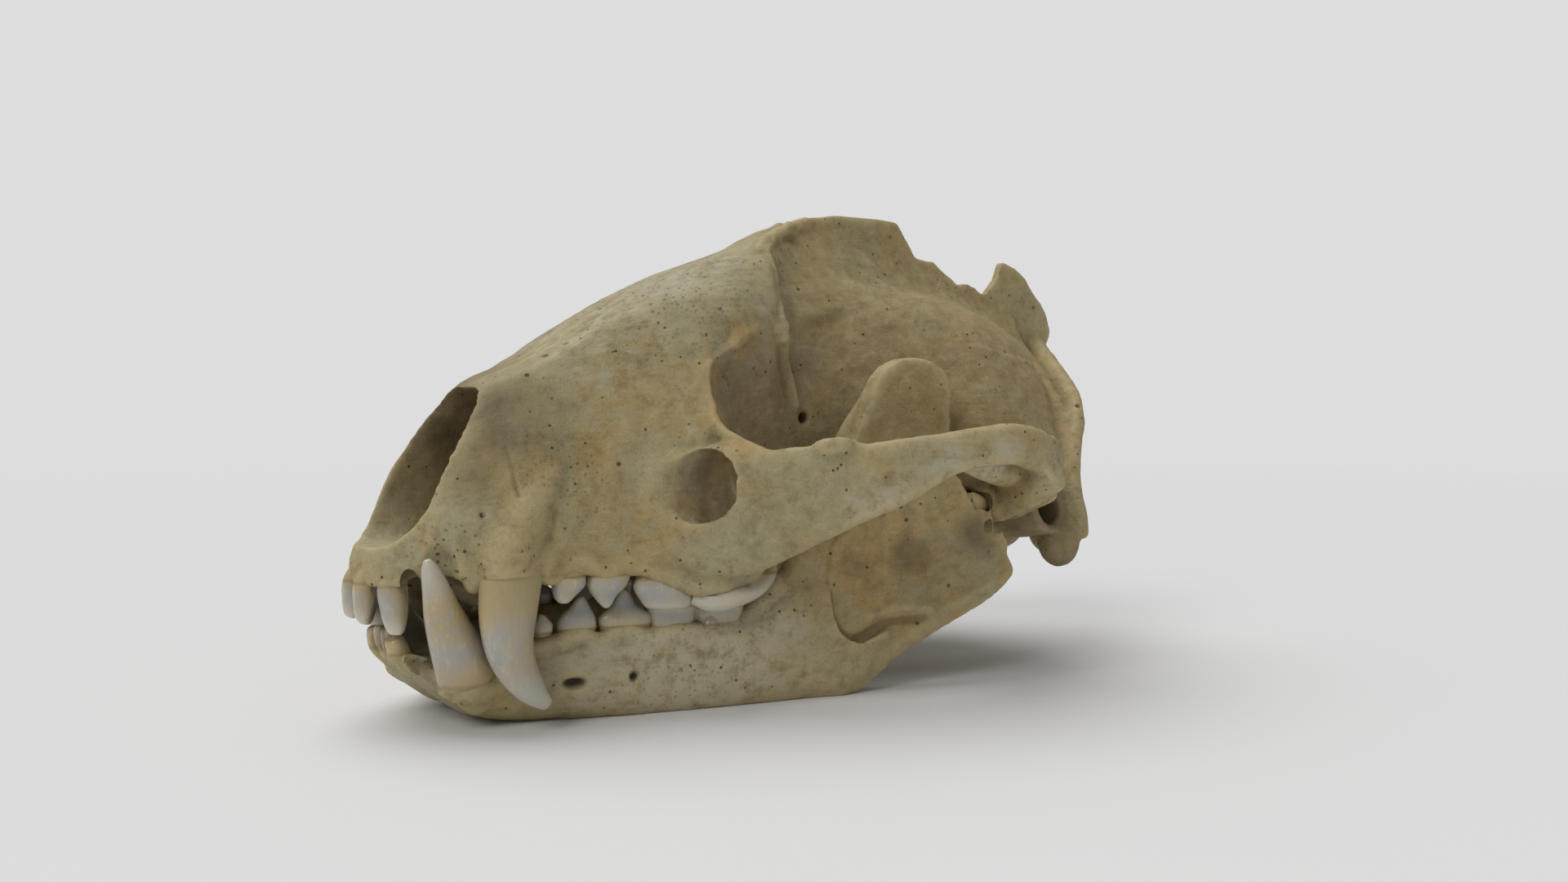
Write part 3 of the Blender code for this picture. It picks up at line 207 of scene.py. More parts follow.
# Rounded ridges on each side of the cranium: x, distance, height and radius along each, and which way
# their sections stand.
CRANIUM_RIDGES = {
    "nuchal_crest": (BACKWARDS, [
        (0.0, 130.6, 34.4, 1.9),
        (6.0, 127.0, 31.6, 1.8),
        (12.0, 124.2, 28.6, 1.6),
        (17.6, 121.8, 25.0, 1.6),
        (22.0, 117.8, 20.8, 1.6),
        (24.6, 113.8, 15.4, 1.8),
        (25.6, 112.2, 10.0, 2.3),
        (26.4, 111.9, 5.0, 2.9),
        (26.8, 111.3, 1.6, 3.1),
    ]),
    "nuchal_web": (BACKWARDS, [
        (0.0, 124.0, 31.0, 3.4),
        (10.0, 120.0, 26.0, 3.6),
        (18.8, 115.6, 18.0, 4.0),
        (22.8, 110.4, 8.0, 4.6),
    ]),
    "nape_ridge": (BACKWARDS, [
        (1.2, 131.0, 33.6, 1.6),
        (0.9, 124.6, 27.0, 1.5),
        (0.9, 121.4, 20.0, 1.3),
    ]),
    "temporal_ridge": (BACKWARDS, [
        (13.2, 62.2, 33.0, 1.1),
        (12.0, 62.0, 36.4, 1.1),
        (9.8, 62.1, 40.8, 1.1),
        (7.2, 62.2, 45.2, 1.1),
        (4.8, 63.8, 48.2, 1.0),
        (2.2, 68.8, 51.2, 1.0),
        (0.4, 76.4, 53.6, 1.0),
    ]),
    "orbit_ridge": (BACKWARDS, [
        (12.6, 62.4, 34.0, 1.1),
        (10.4, 64.2, 30.0, 0.9),
        (10.0, 65.6, 26.6, 0.9),
        (10.6, 67.0, 22.6, 0.6),
    ]),
    "orbit_rim": (SIDEWAYS, [
        (12.6, 60.6, 36.6, 0.9),
        (13.7, 56.0, 35.2, 0.9),
        (14.9, 51.6, 32.4, 1.0),
        (16.8, 47.4, 28.4, 1.0),
        (18.4, 45.6, 24.8, 1.0),
        (20.0, 45.2, 21.4, 1.0),
        (22.6, 46.4, 19.0, 1.0),
        (26.0, 49.4, 17.0, 1.0),
    ]),
    "canine_root": (UPWARDS, [
        (15.3, 15.3, 0.5, 3.6),
        (14.7, 15.5, 3.2, 4.3),
        (13.0, 19.0, 9.0, 3.7),
        (11.4, 25.0, 15.0, 2.6),
    ]),
    "canine_slope": (UPWARDS, [
        (14.2, 19.0, 2.4, 3.7),
        (14.0, 22.4, 3.8, 3.1),
        (13.8, 26.0, 5.4, 2.6),
    ]),
    "upper_sockets": (UPWARDS, [
        (15.6, 19.4, 1.6, 1.3),
        (15.7, 21.3, 0.3, 1.2),
        (16.0, 23.9, 2.2, 1.3),
        (16.5, 26.4, 2.1, 1.4),
        (17.0, 29.6, 0.8, 1.4),
        (17.6, 32.9, 1.9, 1.4),
        (18.9, 35.4, 0.6, 1.4),
        (19.9, 38.1, -0.6, 1.4),
        (20.6, 41.3, -1.7, 1.5),
        (21.1, 43.6, -1.8, 1.5),
        (21.7, 47.0, -1.1, 1.5),
        (21.7, 50.6, 0.5, 1.4),
        (20.6, 53.6, 2.2, 1.3),
        (19.6, 55.5, 3.2, 1.2),
    ]),
    "canine_gap": (UPWARDS, [
        (8.8, 8.8, 1.2, 1.2),
        (9.4, 12.6, -1.5, 2.0),
        (10.6, 16.4, -0.6, 2.2),
        (11.6, 19.6, 1.2, 1.6),
    ]),
}

# Rods of oval section on each side: x, distance, height, half width and half height along each.
CRANIUM_RODS = {
    "joint_bar": [(18.0, 93.8, 6.0, 1.8, 3.0), (28.0, 94.0, 7.8, 2.0, 2.9), (34.0, 94.6, 10.5, 2.2, 2.8),
                  (38.6, 95.4, 13.2, 2.2, 2.6)],
    "joint_roof": [(17.0, 95.0, 13.6, 4.2, 4.4), (27.0, 96.4, 14.6, 3.4, 3.8), (36.6, 96.6, 16.0, 3.0, 3.2)],
    "joint_back": [(18.0, 97.6, 8.4, 2.6, 4.0), (27.0, 98.0, 9.6, 2.6, 4.4), (34.0, 98.2, 12.4, 2.2, 4.0)],
    "joint_shelf": [(37.0, 77.0, 15.4, 1.0, 1.6), (35.4, 84.0, 14.0, 2.0, 1.9), (32.2, 90.0, 13.4, 3.2, 2.3),
                    (28.0, 94.6, 13.0, 3.2, 2.6)],
    "ear_tube": [(18.0, 102.4, 5.0, 5.0, 4.2), (24.0, 104.0, 6.6, 5.4, 4.8), (28.4, 105.2, 7.4, 5.6, 5.0)],
}

# Lumps on each side: their centre, three half sizes and turn in degrees round an axis.
CRANIUM_LUMPS = {
    "mastoid": ((26.0, 109.4, 0.9), (3.2, 3.6, 4.3), 0, "X"),
    "paroccipital": ((19.0, 113.4, 1.6), (3.2, 2.4, 4.0), 18, "X"),
    "occipital_condyle": ((9.2, 120.4, 7.4), (4.6, 4.8, 6.2), -30, "Y"),
    "bulla": ((14.6, 100.8, 3.0), (7.6, 10.6, 5.0), 14, "Z"),
    "postorbital": ((12.6, 61.2, 35.6), (1.7, 2.4, 1.4), 40, "Y"),
    "cheek_point": ((32.4, 57.0, 18.0), (2.4, 3.6, 1.7), 0, "X"),
    "orbit_knob": ((16.9, 46.4, 28.8), (1.3, 1.7, 1.9), 30, "X"),
    "canine_lip": ((12.4, 11.5, 0.2), (1.6, 1.6, 1.8), 0, "X"),
}
PTERYGOID = [(58.0, 4.0), (70.0, 1.2), (80.0, -1.2), (83.6, -2.6), (83.0, 0.8), (86.0, 6.0), (84.0, 9.0),
             (58.0, 9.0)]
PTERYGOID_X = 8.2
PTERYGOID_THICKNESS = 1.8

# The jaw's condyle and the room round it in its socket.
CONDYLE_CENTRE = (21.8, 91.2, 6.6)
CONDYLE_HALF = (5.8, 2.7, 2.7)
CONDYLE_TILT = -18
JOINT_ROOM = 0.7

# What is cut away on each side and in the middle, in the same two forms.
SIDE_RODS_CUT = {
    "canal": [(22.8, 31.5, 13.4, 1.6, 2.0), (22.0, 36.0, 13.0, 2.4, 3.8), (21.9, 40.4, 12.6, 3.2, 5.2),
              (22.2, 44.2, 12.2, 3.7, 5.4), (22.4, 48.2, 12.0, 3.0, 4.2)],
    "ear": [(20.0, 102.2, 5.6, 2.4, 2.0), (25.0, 103.6, 6.7, 3.0, 2.6), (32.0, 105.4, 7.4, 4.2, 3.4)],
    "socket_mouth": [(16.6, 89.4, 3.0, 2.8, 3.4), (25.6, 89.0, 5.2, 3.0, 4.2), (34.0, 88.4, 8.6, 3.0, 3.6)],
}
SIDE_LUMPS_CUT = {
    "orbit": ((24.4, 57.4, 25.8), (12.4, 14.0, 9.8), -18, "X"),
    "canine_notch": ((12.8, 6.0, 2.0), (2.6, 2.9, 5.0), 0, "X"),
    "neck_room": ((25.8, 86.6, 7.0), (4.0, 3.6, 4.6), 0, "X"),
    "socket": (CONDYLE_CENTRE, tuple(half + JOINT_ROOM for half in CONDYLE_HALF), CONDYLE_TILT, "Y"),
}
MIDDLE_RODS_CUT = {
    "choana": [(0.0, 64.0, 2.6, 4.0, 2.0), (0.0, 74.0, 4.6, 6.8, 6.2), (0.0, 86.0, 2.0, 6.6, 5.0)],
    "foramen_magnum": [(0.0, 112.0, 14.0, 7.4, 6.2), (0.0, 121.0, 11.4, 7.4, 6.2),
                       (0.0, 130.0, 10.0, 7.8, 6.6)],
}
MIDDLE_LUMPS_CUT = {
    "palate_vault": ((0.0, 32.0, 0.2), (10.5, 27.0, 3.6), 0, "X"),
    "cerebrum": ((0.0, 98.0, 22.8), (22.0, 20.0, 15.4), 0, "X"),
    "cerebellum": ((0.0, 111.6, 20.0), (17.0, 9.4, 12.0), 0, "X"),
}

# Cheek teeth of the left side: middle x and thickness, then level by level from the gum line to the
# tip the height and the front and rear edges of the crown.
UPPER_PREMOLARS = [
    (15.6, 3.0, [
        (0.5, 21.5, 26.4),
        (-0.9, 21.6, 26.3),
        (-2.3, 21.9, 24.9),
        (-3.2, 22.6, 24.0),
    ]),
    (16.5, 3.4, [
        (0.4, 26.8, 33.0),
        (-1.4, 26.8, 32.2),
        (-2.6, 27.5, 30.9),
        (-3.8, 28.5, 30.2),
        (-4.3, 29.0, 29.7),
    ]),
    (18.1, 4.0, [
        (-0.4, 33.5, 42.3),
        (-1.8, 33.2, 42.4),
        (-3.6, 34.2, 42.2),
        (-4.6, 35.0, 41.7),
        (-4.9, 36.0, 41.0),
    ]),
]
LOWER_PREMOLARS = [
    (12.0, 2.2, [
        (-7.6, 20.2, 23.2),
        (-6.4, 20.3, 23.2),
        (-5.4, 21.0, 22.4),
        (-5.0, 21.3, 21.9),
    ]),
    (13.0, 2.7, [
        (-7.4, 23.6, 29.4),
        (-5.8, 24.0, 29.2),
        (-4.4, 25.4, 28.5),
        (-3.3, 26.4, 27.9),
        (-2.8, 27.0, 27.6),
    ]),
    (14.2, 3.0, [
        (-7.4, 29.7, 37.5),
        (-6.0, 29.8, 37.3),
        (-4.4, 31.6, 35.2),
        (-2.8, 32.6, 34.4),
        (-2.1, 33.2, 33.8),
    ]),
]
CROWN_ROOT = 2.8
ROOT_INWARD = 1.0
# The root's share of the crown's thickness and length, and the thickness of a crown where it ends in a point.
ROOT_SHARES = (0.3, 0.32)
POINT_SHARE = 0.14
ROW_TURN = math.radians(13)

# Canines of the left side from deep in the root to the tip: x, distance, height, half length and
# half thickness.
UPPER_CANINE = [
    (13.6, 19.0, 8.0, 3.0, 2.4),
    (14.7, 16.2, 2.0, 4.2, 3.2),
    (15.2, 15.2, -3.0, 4.1, 3.2),
    (15.8, 14.9, -7.5, 3.5, 2.7),
    (16.2, 15.8, -11.0, 2.9, 2.3),
    (16.5, 17.8, -14.2, 2.1, 1.7),
    (16.7, 20.2, -16.6, 0.9, 0.8),
]
LOWER_CANINE = [
    (9.2, 14.6, -16.6, 2.8, 2.2),
    (9.8, 12.4, -13.8, 3.7, 2.8),
    (10.2, 11.5, -12.0, 4.3, 3.4),
    (10.7, 9.7, -8.6, 3.6, 2.9),
    (11.4, 7.7, -4.2, 2.7, 2.2),
    (12.0, 6.4, -0.4, 1.9, 1.6),
    (12.4, 5.4, 2.4, 1.2, 1.1),
    (12.5, 5.0, 3.8, 0.5, 0.5),
]

# Incisors: x, distance and height of root, gum line and tip, half width and half depth.
UPPER_INCISORS = [
    ((1.9, 2.6, 3.4), (2.05, 0.5, 0.0), (2.2, -0.1, -5.2), 1.55, 1.6),
    ((4.9, 4.6, 3.4), (5.4, 3.0, -0.2), (6.0, 3.2, -6.8), 1.95, 2.1),
    ((7.6, 6.2, 3.8), (8.1, 4.8, 0.2), (8.4, 4.0, -6.8), 1.6, 1.8),
]
LOWER_INCISORS = [
    ((1.2, 6.4, -12.4), (1.3, 4.6, -9.4), (1.4, 3.4, -6.6), 1.1, 1.3),
    ((3.4, 7.0, -12.8), (3.5, 4.7, -9.9), (3.6, 3.4, -7.0), 1.4, 1.6),
    ((5.8, 7.6, -13.4), (6.0, 6.4, -10.0), (6.4, 5.8, -7.4), 1.4, 1.5),
]
# The left third upper incisor is lost and its socket is empty, as is that of the third lower one,
# and the left second lower incisor is worn down to a stump.
LOST_SOCKETS = {"upper": (8.4, 4.8, 0.2), "lower": (6.2, 5.6, -10.2)}
LOST_SOCKET_HALF = (1.5, 1.8, 2.6)
# An incisor from its root to its tip: two places on the crown, and the widths and depths at all five
# points, the last two depths also for a worn one.
INCISOR_CROWN = (0.45, 0.85)
INCISOR_WIDTHS = (0.6, 0.8, 1.0, 1.0, 0.8)
INCISOR_DEPTHS = (0.7, 0.95, 0.9, 0.6, 0.3)
WORN_DEPTHS = (0.8, 0.7)
STUMP_HEIGHT = -7.6

UPPER_MOLAR_CENTRE = (17.0, 48.7)
UPPER_MOLAR_HALF = (5.2, 6.4)
UPPER_MOLAR_ROOT = 3.4
UPPER_MOLAR_GUM = -1.4
UPPER_MOLAR_FACE = (-4.0, -3.2)
UPPER_MOLAR_BEVEL = 0.9
UPPER_MOLAR_CORNER = 0.7
# The enamel wall on the molar's outer side: x, distance, height, half length across and half height.
UPPER_MOLAR_WALL = [
    (19.6, 41.4, -3.4, 0.9, 1.0),
    (20.8, 44.0, -4.2, 1.4, 1.5),
    (21.6, 47.4, -3.6, 1.5, 1.6),
    (21.4, 50.8, -2.8, 1.4, 1.5),
    (21.0, 53.4, -1.4, 1.2, 1.3),
    (20.2, 55.0, 0.4, 0.8, 0.9),
]
# A cusp's outline as shares of its height and radius, and its two sizes on the upper and lower molars.
CUSP_SHAPE = [(1.0, 1.0), (0.6, 0.8), (0.25, 0.5), (0.0, 0.16)]
CUSP_STEPS = 3
UPPER_CUSP = (2.4, 1.9)
LOWER_CUSP = (-2.4, 1.5)
UPPER_MOLAR_CUSPS = [
    (20.4, 44.2, -5.6),
    (20.8, 48.2, -5.0),
    (14.8, 45.6, -5.0),
    (12.8, 49.4, -4.2),
    (19.0, 52.2, -4.0),
]
LOWER_MOLARS = [
    ((14.9, 40.7), (2.4, 3.9), -4.4),
    ((15.9, 47.8), (3.0, 4.2), -5.0),
    ((17.0, 53.6), (2.3, 2.0), -6.8),
]
LOWER_MOLAR_CUSPS = [
    (14.4, 39.2, -3.2),
    (15.0, 42.2, -2.8),
    (17.4, 45.8, -6.0),
    (14.4, 47.2, -6.0),
    (17.0, 50.4, -5.8),
]
LOWER_MOLAR_ROOT = -11.4
LOWER_MOLAR_ROOT_SHARE = 0.75
LOWER_MOLAR_CORNER = 0.75
# How far under the top of a lower molar each level lies and its share of the full size.
LOWER_MOLAR_LEVELS = [(1.6, 0.95), (0.7, 1.0), (0.0, 0.82)]

# Sections of the left jaw body: distance, middle x, half thickness, lower and upper border.
JAW_SECTIONS = [
    (3.9, 0.6, 3.0, -11.0, -9.2),
    (5.8, 2.6, 5.2, -12.9, -9.8),
    (8.6, 4.2, 6.5, -15.5, -10.6),
    (12.6, 5.0, 7.4, -18.6, -10.6),
    (17.6, 5.8, 7.6, -20.2, -9.0),
    (23.0, 7.6, 6.4, -20.6, -8.0),
    (28.0, 10.2, 4.9, -20.6, -7.6),
    (34.0, 12.6, 4.0, -20.7, -7.6),
    (41.0, 14.5, 3.8, -20.7, -7.4),
    (48.0, 16.1, 3.8, -20.7, -7.2),
    (55.0, 17.7, 3.7, -20.7, -5.8),
    (60.0, 18.9, 3.3, -20.7, -2.0),
    (67.4, 20.8, 3.0, -20.7, -4.0),
    (74.0, 22.4, 2.2, -17.0, -8.0),
]

# By what share the lower side of the chin is narrower, against the distance.
CHIN_TAPER = ([8.0, 26.0], [0.5, 0.0])

# The jaw's rising branch seen from the side: distance and height, from the last tooth over the
# coronoid process, the neck of the joint and the angle back to the lower border.
RAMUS_OUTLINE = [
    (56.0, -12.0),
    (57.6, -4.4),
    (60.6, 3.0),
    (64.9, 12.0),
    (68.8, 19.3),
    (71.2, 26.2),
    (73.4, 29.6),
    (77.2, 30.9),
    (81.4, 30.0),
    (84.0, 27.0),
    (84.2, 21.0),
    (84.4, 14.6),
    (87.2, 10.4),
    (88.6, 4.6),
    (92.0, 3.2),
    (94.9, 2.4),
    (94.9, 0.2),
    (96.2, -2.8),
    (94.6, -5.0),
    (90.2, -7.8),
    (82.0, -11.8),
    (73.6, -16.4),
    (69.2, -20.0),
    (59.0, -19.0),
]
RAMUS_THICKNESS = 3.1
RAMUS_FOOT = (18.4, 58.0)
RAMUS_SPREAD = 0.245
RAMUS_LEAN = 0.05
RAMUS_LEAN_FROM = 4.0

# Ridges on it: distance, height, radius and how far inwards each point lies.
RAMUS_RIDGES = {
    "front_edge": (BACKWARDS, [
        (58.6, -7.0, 3.0, 0.5),
        (62.6, 4.0, 2.1, 0.9),
        (66.6, 14.0, 1.4, 1.8),
        (69.6, 21.0, 1.0, 1.8),
        (73.0, 26.6, 0.9, 1.2),
    ]),
    "lower_edge": (UPWARDS, [
        (62.0, -17.8, 2.4, 0.0),
        (72.0, -15.0, 2.2, 0.0),
        (81.0, -10.2, 2.1, 0.0),
        (88.6, -6.4, 1.8, 0.0),
        (92.6, -2.8, 1.2, 0.0),
    ]),
    "joint_neck": (UPWARDS, [
        (80.0, 0.0, 1.4, 0.0),
        (86.0, 2.6, 2.2, 0.2),
        (91.0, 6.6, 2.3, 1.2),
    ]),
}
JAW_RIDGES = {
    "lower_sockets": (UPWARDS, [
        (12.2, 18.6, -9.6, 1.3),
        (12.7, 23.0, -9.2, 1.3),
        (13.5, 26.6, -8.0, 1.3),
        (13.9, 29.6, -9.3, 1.3),
        (14.8, 33.4, -8.0, 1.4),
        (15.4, 37.0, -9.2, 1.4),
        (16.2, 40.8, -8.7, 1.5),
        (16.8, 44.0, -9.0, 1.5),
        (17.6, 50.0, -8.4, 1.5),
        (18.2, 54.6, -5.4, 1.6),
        (18.9, 57.6, -2.2, 1.6),
    ]),
    "lower_canine_root": (UPWARDS, [
        (9.2, 8.6, -12.6, 2.4),
        (9.8, 11.6, -13.8, 3.2),
        (9.4, 15.2, -14.2, 3.2),
    ]),
}

# The hollow for the chewing muscle on the outer side of the rising branch.
MUSCLE_HOLLOW = [
    (64.4, -5.0),
    (65.4, -10.0),
    (68.4, -12.0),
    (71.2, -11.4),
    (77.0, -9.4),
    (83.4, -6.0),
    (86.4, -3.0),
    (84.4, 3.0),
    (80.4, 8.6),
    (76.4, 12.4),
    (73.0, 11.6),
    (69.4, 5.4),
    (66.0, 0.4),
]
MUSCLE_HOLLOW_DEPTH = 0.15

# The fine forms: how many cells the random lattice has, how many points a carved line has in each span,
# and how many half widths it fades over.
NOISE_CELLS = 48
LINE_STEPS = 4
LINE_FADE = 2.5
# How curvature is read: rounds of averaging, and what depth in millimetres counts as a full hollow.
BEND_ROUNDS = 24
BEND_DEPTH = 0.22
# How it is found what is closed in, for the painted shade there: rays and their reach and start in
# metres, then how many marked points a value is taken from, how alike they have to face, and how far
# it is evened out.
SHELTER_RAYS = 48
SHELTER_REACH = 0.02
SHELTER_START = 0.0004
SHELTER_SEED = 5
SHELTER_NEIGHBOURS = 8
LEAST_AGREEMENT = 0.3
SHELTER_USUAL = 0.3
SHELTER_STEP = 3
SHELTER_ROUNDS = 24
# The ragged edges of the stains: size in millimetres, share of the reach and seed.
STAIN_EDGE = (4.0, 0.25, 91)
STAIN_REACH = 1.4

# Where the enamel of the canines begins, how softly, and how stained its edge is. The other teeth begin
# at their gum line, and for the molars the crown's own lower and upper end are given.
UPPER_CANINE_COLLAR = (-2.6, 6.0, 0.0)
LOWER_CANINE_COLLAR = (-13.8, 1.2, 0.4)
INCISOR_COLLAR = (0.8, 0.5)
PREMOLAR_COLLAR = (0.8, 0.8)
UPPER_MOLAR_CROWN = (-0.6, -3.5)
LOWER_MOLAR_CROWN = (-8.0, -5.0)
MOLAR_COLLAR = (0.9, 0.8)

# The first lower cheek tooth of the right side, which is larger than that of the left.
RIGHT_FIRST_PREMOLAR = (12.0, 2.8, [
    (-7.6, 18.4, 23.4),
    (-6.0, 18.6, 23.2),
    (-4.6, 19.2, 22.2),
    (-4.0, 20.0, 21.4),
])

# Lines raised or sunk in the bone on both sides: points, half width and height.
SKULL_LINES = [
    ([(0.0, 24.0, 31.2), (0.0, 40.0, 40.0), (0.0, 55.0, 46.4)], 0.6, -0.16),
    ([(0.9, 17.0, 27.2), (3.6, 30.0, 33.6), (4.4, 42.0, 40.2)], 0.5, -0.14),
    ([(14.0, 16.3, 19.6), (14.6, 16.5, 18.0), (14.8, 16.9, 15.8), (15.2, 16.7, 12.2)], 0.25, -0.3),
    ([(12.6, 61.8, 36.2), (9.0, 62.6, 41.4), (6.2, 63.4, 46.0), (3.6, 66.4, 49.6),
      (1.2, 72.0, 52.6)], 0.5, 0.35),
    ([(10.6, 64.6, 31.0), (10.4, 65.8, 27.0), (10.8, 66.6, 23.6)], 0.5, 0.2),
    ([(36.5, 59.3, 7.4), (38.5, 66.6, 10.7), (39.5, 72.0, 13.3), (39.5, 79.0, 15.2),
      (38.8, 86.0, 15.7)], 0.8, 0.5),
    ([(24.0, 96.0, 36.0), (22.0, 104.0, 33.6), (17.0, 114.0, 31.0)], 0.5, 0.16),
]
# Holes for blood vessels and nerves: place, three radii and depth.
SKULL_PITS = [
    ((11.6, 67.9, 21.5), (0.75, 0.75, 0.8), 1.7),
    ((24.6, 118.6, 27.0), (0.5, 0.5, 0.5), 0.8),
    ((13.0, 12.4, 9.0), (0.3, 0.3, 0.4), 0.5),
    ((5.4, 26.4, 29.6), (0.25, 0.5, 0.25), 0.5),
    ((5.8, 29.6, 31.2), (0.25, 0.45, 0.25), 0.4),
]
SKULL_ROUGH = [(9.0, 0.26, 3), (3.4, 0.12, 4), (1.3, 0.06, 5), (0.8, 0.03, 6)]
# Where the edge of the nose opening is rubbed smooth: middle, reach and rounds.
NOSE_WEAR = ((5.0, 10.0, 17.0), 13.0, 14)
# The same at the front end of the hollow before the cheek.
POCKET_WEAR = ((18.6, 38.4, 12.6), 4.4, 120)
# Stains, and dark spots of painted shade, on both sides: place, reach and strength.
SKULL_PATCHES = {
    "green": [((6.0, 50.0, 42.0), 17.0, 0.9), ((10.0, 34.0, 34.0), 11.0, 0.7), ((10.0, 6.0, 6.0), 9.0, 1.0),
              ((31.0, 54.0, 12.0), 11.0, 0.7), ((24.0, 45.0, 4.0), 8.0, 0.9), ((38.0, 68.0, 15.0), 10.0, 0.5),
              ((15.0, 22.0, 10.0), 5.0, 0.5)],
    "warm": [((16.0, 28.4, 18.0), 3.4, 0.9), ((15.0, 34.0, 26.0), 7.0, 0.4), ((18.8, 45.4, 22.6), 2.8, 0.9),
             ((14.2, 53.6, 33.6), 3.2, 0.9), ((17.0, 47.2, 28.0), 2.8, 0.8), ((24.0, 47.6, 18.2), 3.0, 0.8),
             ((22.0, 46.8, 14.0), 3.4, 0.6), ((19.0, 36.0, 6.0), 5.0, 0.6), ((39.0, 80.0, 19.0), 6.0, 0.4)],
    "brown": [((14.0, 76.0, 34.0), 15.0, 0.9), ((25.0, 96.0, 26.0), 20.0, 0.8),
              ((0.0, 84.0, 50.0), 16.0, 0.3), ((22.0, 116.0, 20.0), 12.0, 0.7),
              ((30.0, 96.0, 8.0), 9.0, 0.8), ((26.0, 48.0, 9.0), 8.0, 0.8)],
    "rosy": [((13.0, 58.0, 24.0), 11.0, 0.9), ((20.0, 43.0, 12.0), 5.0, 0.9), ((11.0, 70.0, 31.0), 4.0, 0.7),
             ((0.0, 10.0, 16.0), 10.0, 0.9)],
    "pale": [((37.4, 62.0, 8.6), 5.0, 0.7), ((39.4, 74.0, 13.6), 5.0, 0.8), ((39.0, 82.0, 15.4), 5.0, 0.8),
             ((6.0, 46.0, 41.0), 9.0, 0.3), ((37.6, 94.0, 13.0), 4.0, 0.5), ((12.0, 62.0, 38.0), 5.0, 0.4)],
    "moss": [((26.0, 109.6, -1.0), 6.0, 0.8), ((14.6, 100.0, -1.0), 9.0, 0.5), ((26.0, 88.0, 7.0), 6.0, 0.6)],
    # The dark spots are painted shade: inside the nose, in the ear opening and under the mastoid.
    "dark": [((0.0, 20.0, 16.0), 12.0, 0.9), ((26.6, 103.8, 7.0), 4.6, 1.0),
             ((26.0, 110.0, -2.4), 5.0, 0.6)],
    "porous": [((12.4, 9.4, 3.6), 4.6, 1.0), ((6.0, 44.0, 40.0), 13.0, 0.45), ((14.0, 24.0, 14.0), 9.0, 0.3)],
    "streaky": [((4.0, 34.0, 35.0), 13.0, 0.9), ((4.0, 52.0, 44.0), 14.0, 0.9),
                ((38.0, 72.0, 18.0), 12.0, 0.5)],
}
JAW_LINES = [
    ([(22.4, 67.5, 4.8), (21.6, 65.2, 3.3), (21.2, 64.3, -1.4), (21.0, 64.6, -7.6), (21.6, 66.8, -12.1),
      (22.4, 69.4, -13.2)], 0.3, -0.3),
    ([(22.6, 69.4, -12.3), (23.4, 72.9, -10.2), (24.2, 75.8, -9.6), (25.0, 80.3, -9.5)], 0.75, -0.55),
    ([(23.2, 71.3, -8.4), (23.8, 74.3, -7.6), (24.6, 78.0, -7.6), (25.2, 81.4, -8.0)], 0.9, 0.5),
    ([(25.4, 83.0, -8.4), (26.4, 88.0, -6.4), (27.4, 92.0, -4.2)], 0.9, 0.35),
    ([(22.4, 71.4, 25.4), (22.0, 70.4, 20.0), (21.6, 68.4, 14.0)], 0.5, 0.25),
    ([(0.4, 10.0, -17.0), (0.4, 20.0, -19.0)], 0.5, -0.25),
]
JAW_PITS = [
    ((14.8, 25.4, -14.7), (1.4, 1.6, 0.7), 1.5),
    ((16.6, 33.7, -14.4), (0.6, 0.6, 0.6), 1.1),
    ((11.5, 10.6, -16.1), (0.6, 0.6, 0.4), 0.9),
]
JAW_ROUGH = [(8.0, 0.22, 13), (3.0, 0.12, 14), (1.3, 0.06, 15), (0.8, 0.03, 16)]
JAW_PATCHES = {
    "green": [((27.0, 86.0, -5.0), 8.0, 0.9), ((24.0, 76.0, 5.0), 6.0, 0.5), ((6.0, 8.0, -13.0), 7.0, 0.7)],
    "warm": [((22.0, 70.0, 12.0), 6.0, 0.6), ((18.0, 58.0, -19.0), 8.0, 0.5), ((26.0, 85.0, -9.0), 5.0, 0.8),
             ((28.0, 95.6, -3.0), 3.0, 1.0), ((23.6, 72.0, 0.0), 12.0, 0.8)],
    "brown": [((24.0, 76.0, 24.0), 9.0, 0.7), ((22.0, 66.0, 6.0), 6.0, 0.5)],
    "rosy": [((17.4, 46.0, -10.0), 5.0, 0.4)],
    "pale": [((17.0, 44.0, -13.0), 18.0, 0.8), ((14.0, 30.0, -12.0), 9.0, 0.6)],
    "moss": [((25.4, 84.0, -3.0), 5.6, 0.8), ((23.4, 73.0, -11.6), 2.4, 0.7),
             ((28.0, 95.0, -1.0), 3.0, 0.5)],
    # The dark spots are painted shade: by the jaw joint and in the empty incisor socket.
    "dark": [((26.4, 89.4, 3.4), 3.6, 0.6), ((8.0, 6.4, -10.6), 2.2, 0.7)],
    "porous": [((8.0, 8.0, -10.0), 4.0, 0.8), ((15.6, 40.0, -14.0), 12.0, 0.3)],
    "streaky": [((15.0, 34.0, -14.0), 16.0, 0.5)],
}
TOOTH_PATCHES = {
    "yellow": [((12.8, 8.4, -3.4), 4.4, 1.0), ((2.6, 3.8, -8.0), 4.0, 1.0), ((7.0, 4.6, -4.0), 2.6, 0.9),
               ((16.8, 18.8, -9.0), 4.0, 1.0), ((11.0, 13.0, -11.6), 3.4, 0.7),
               ((3.4, 1.0, -2.0), 2.0, 0.7)],
}

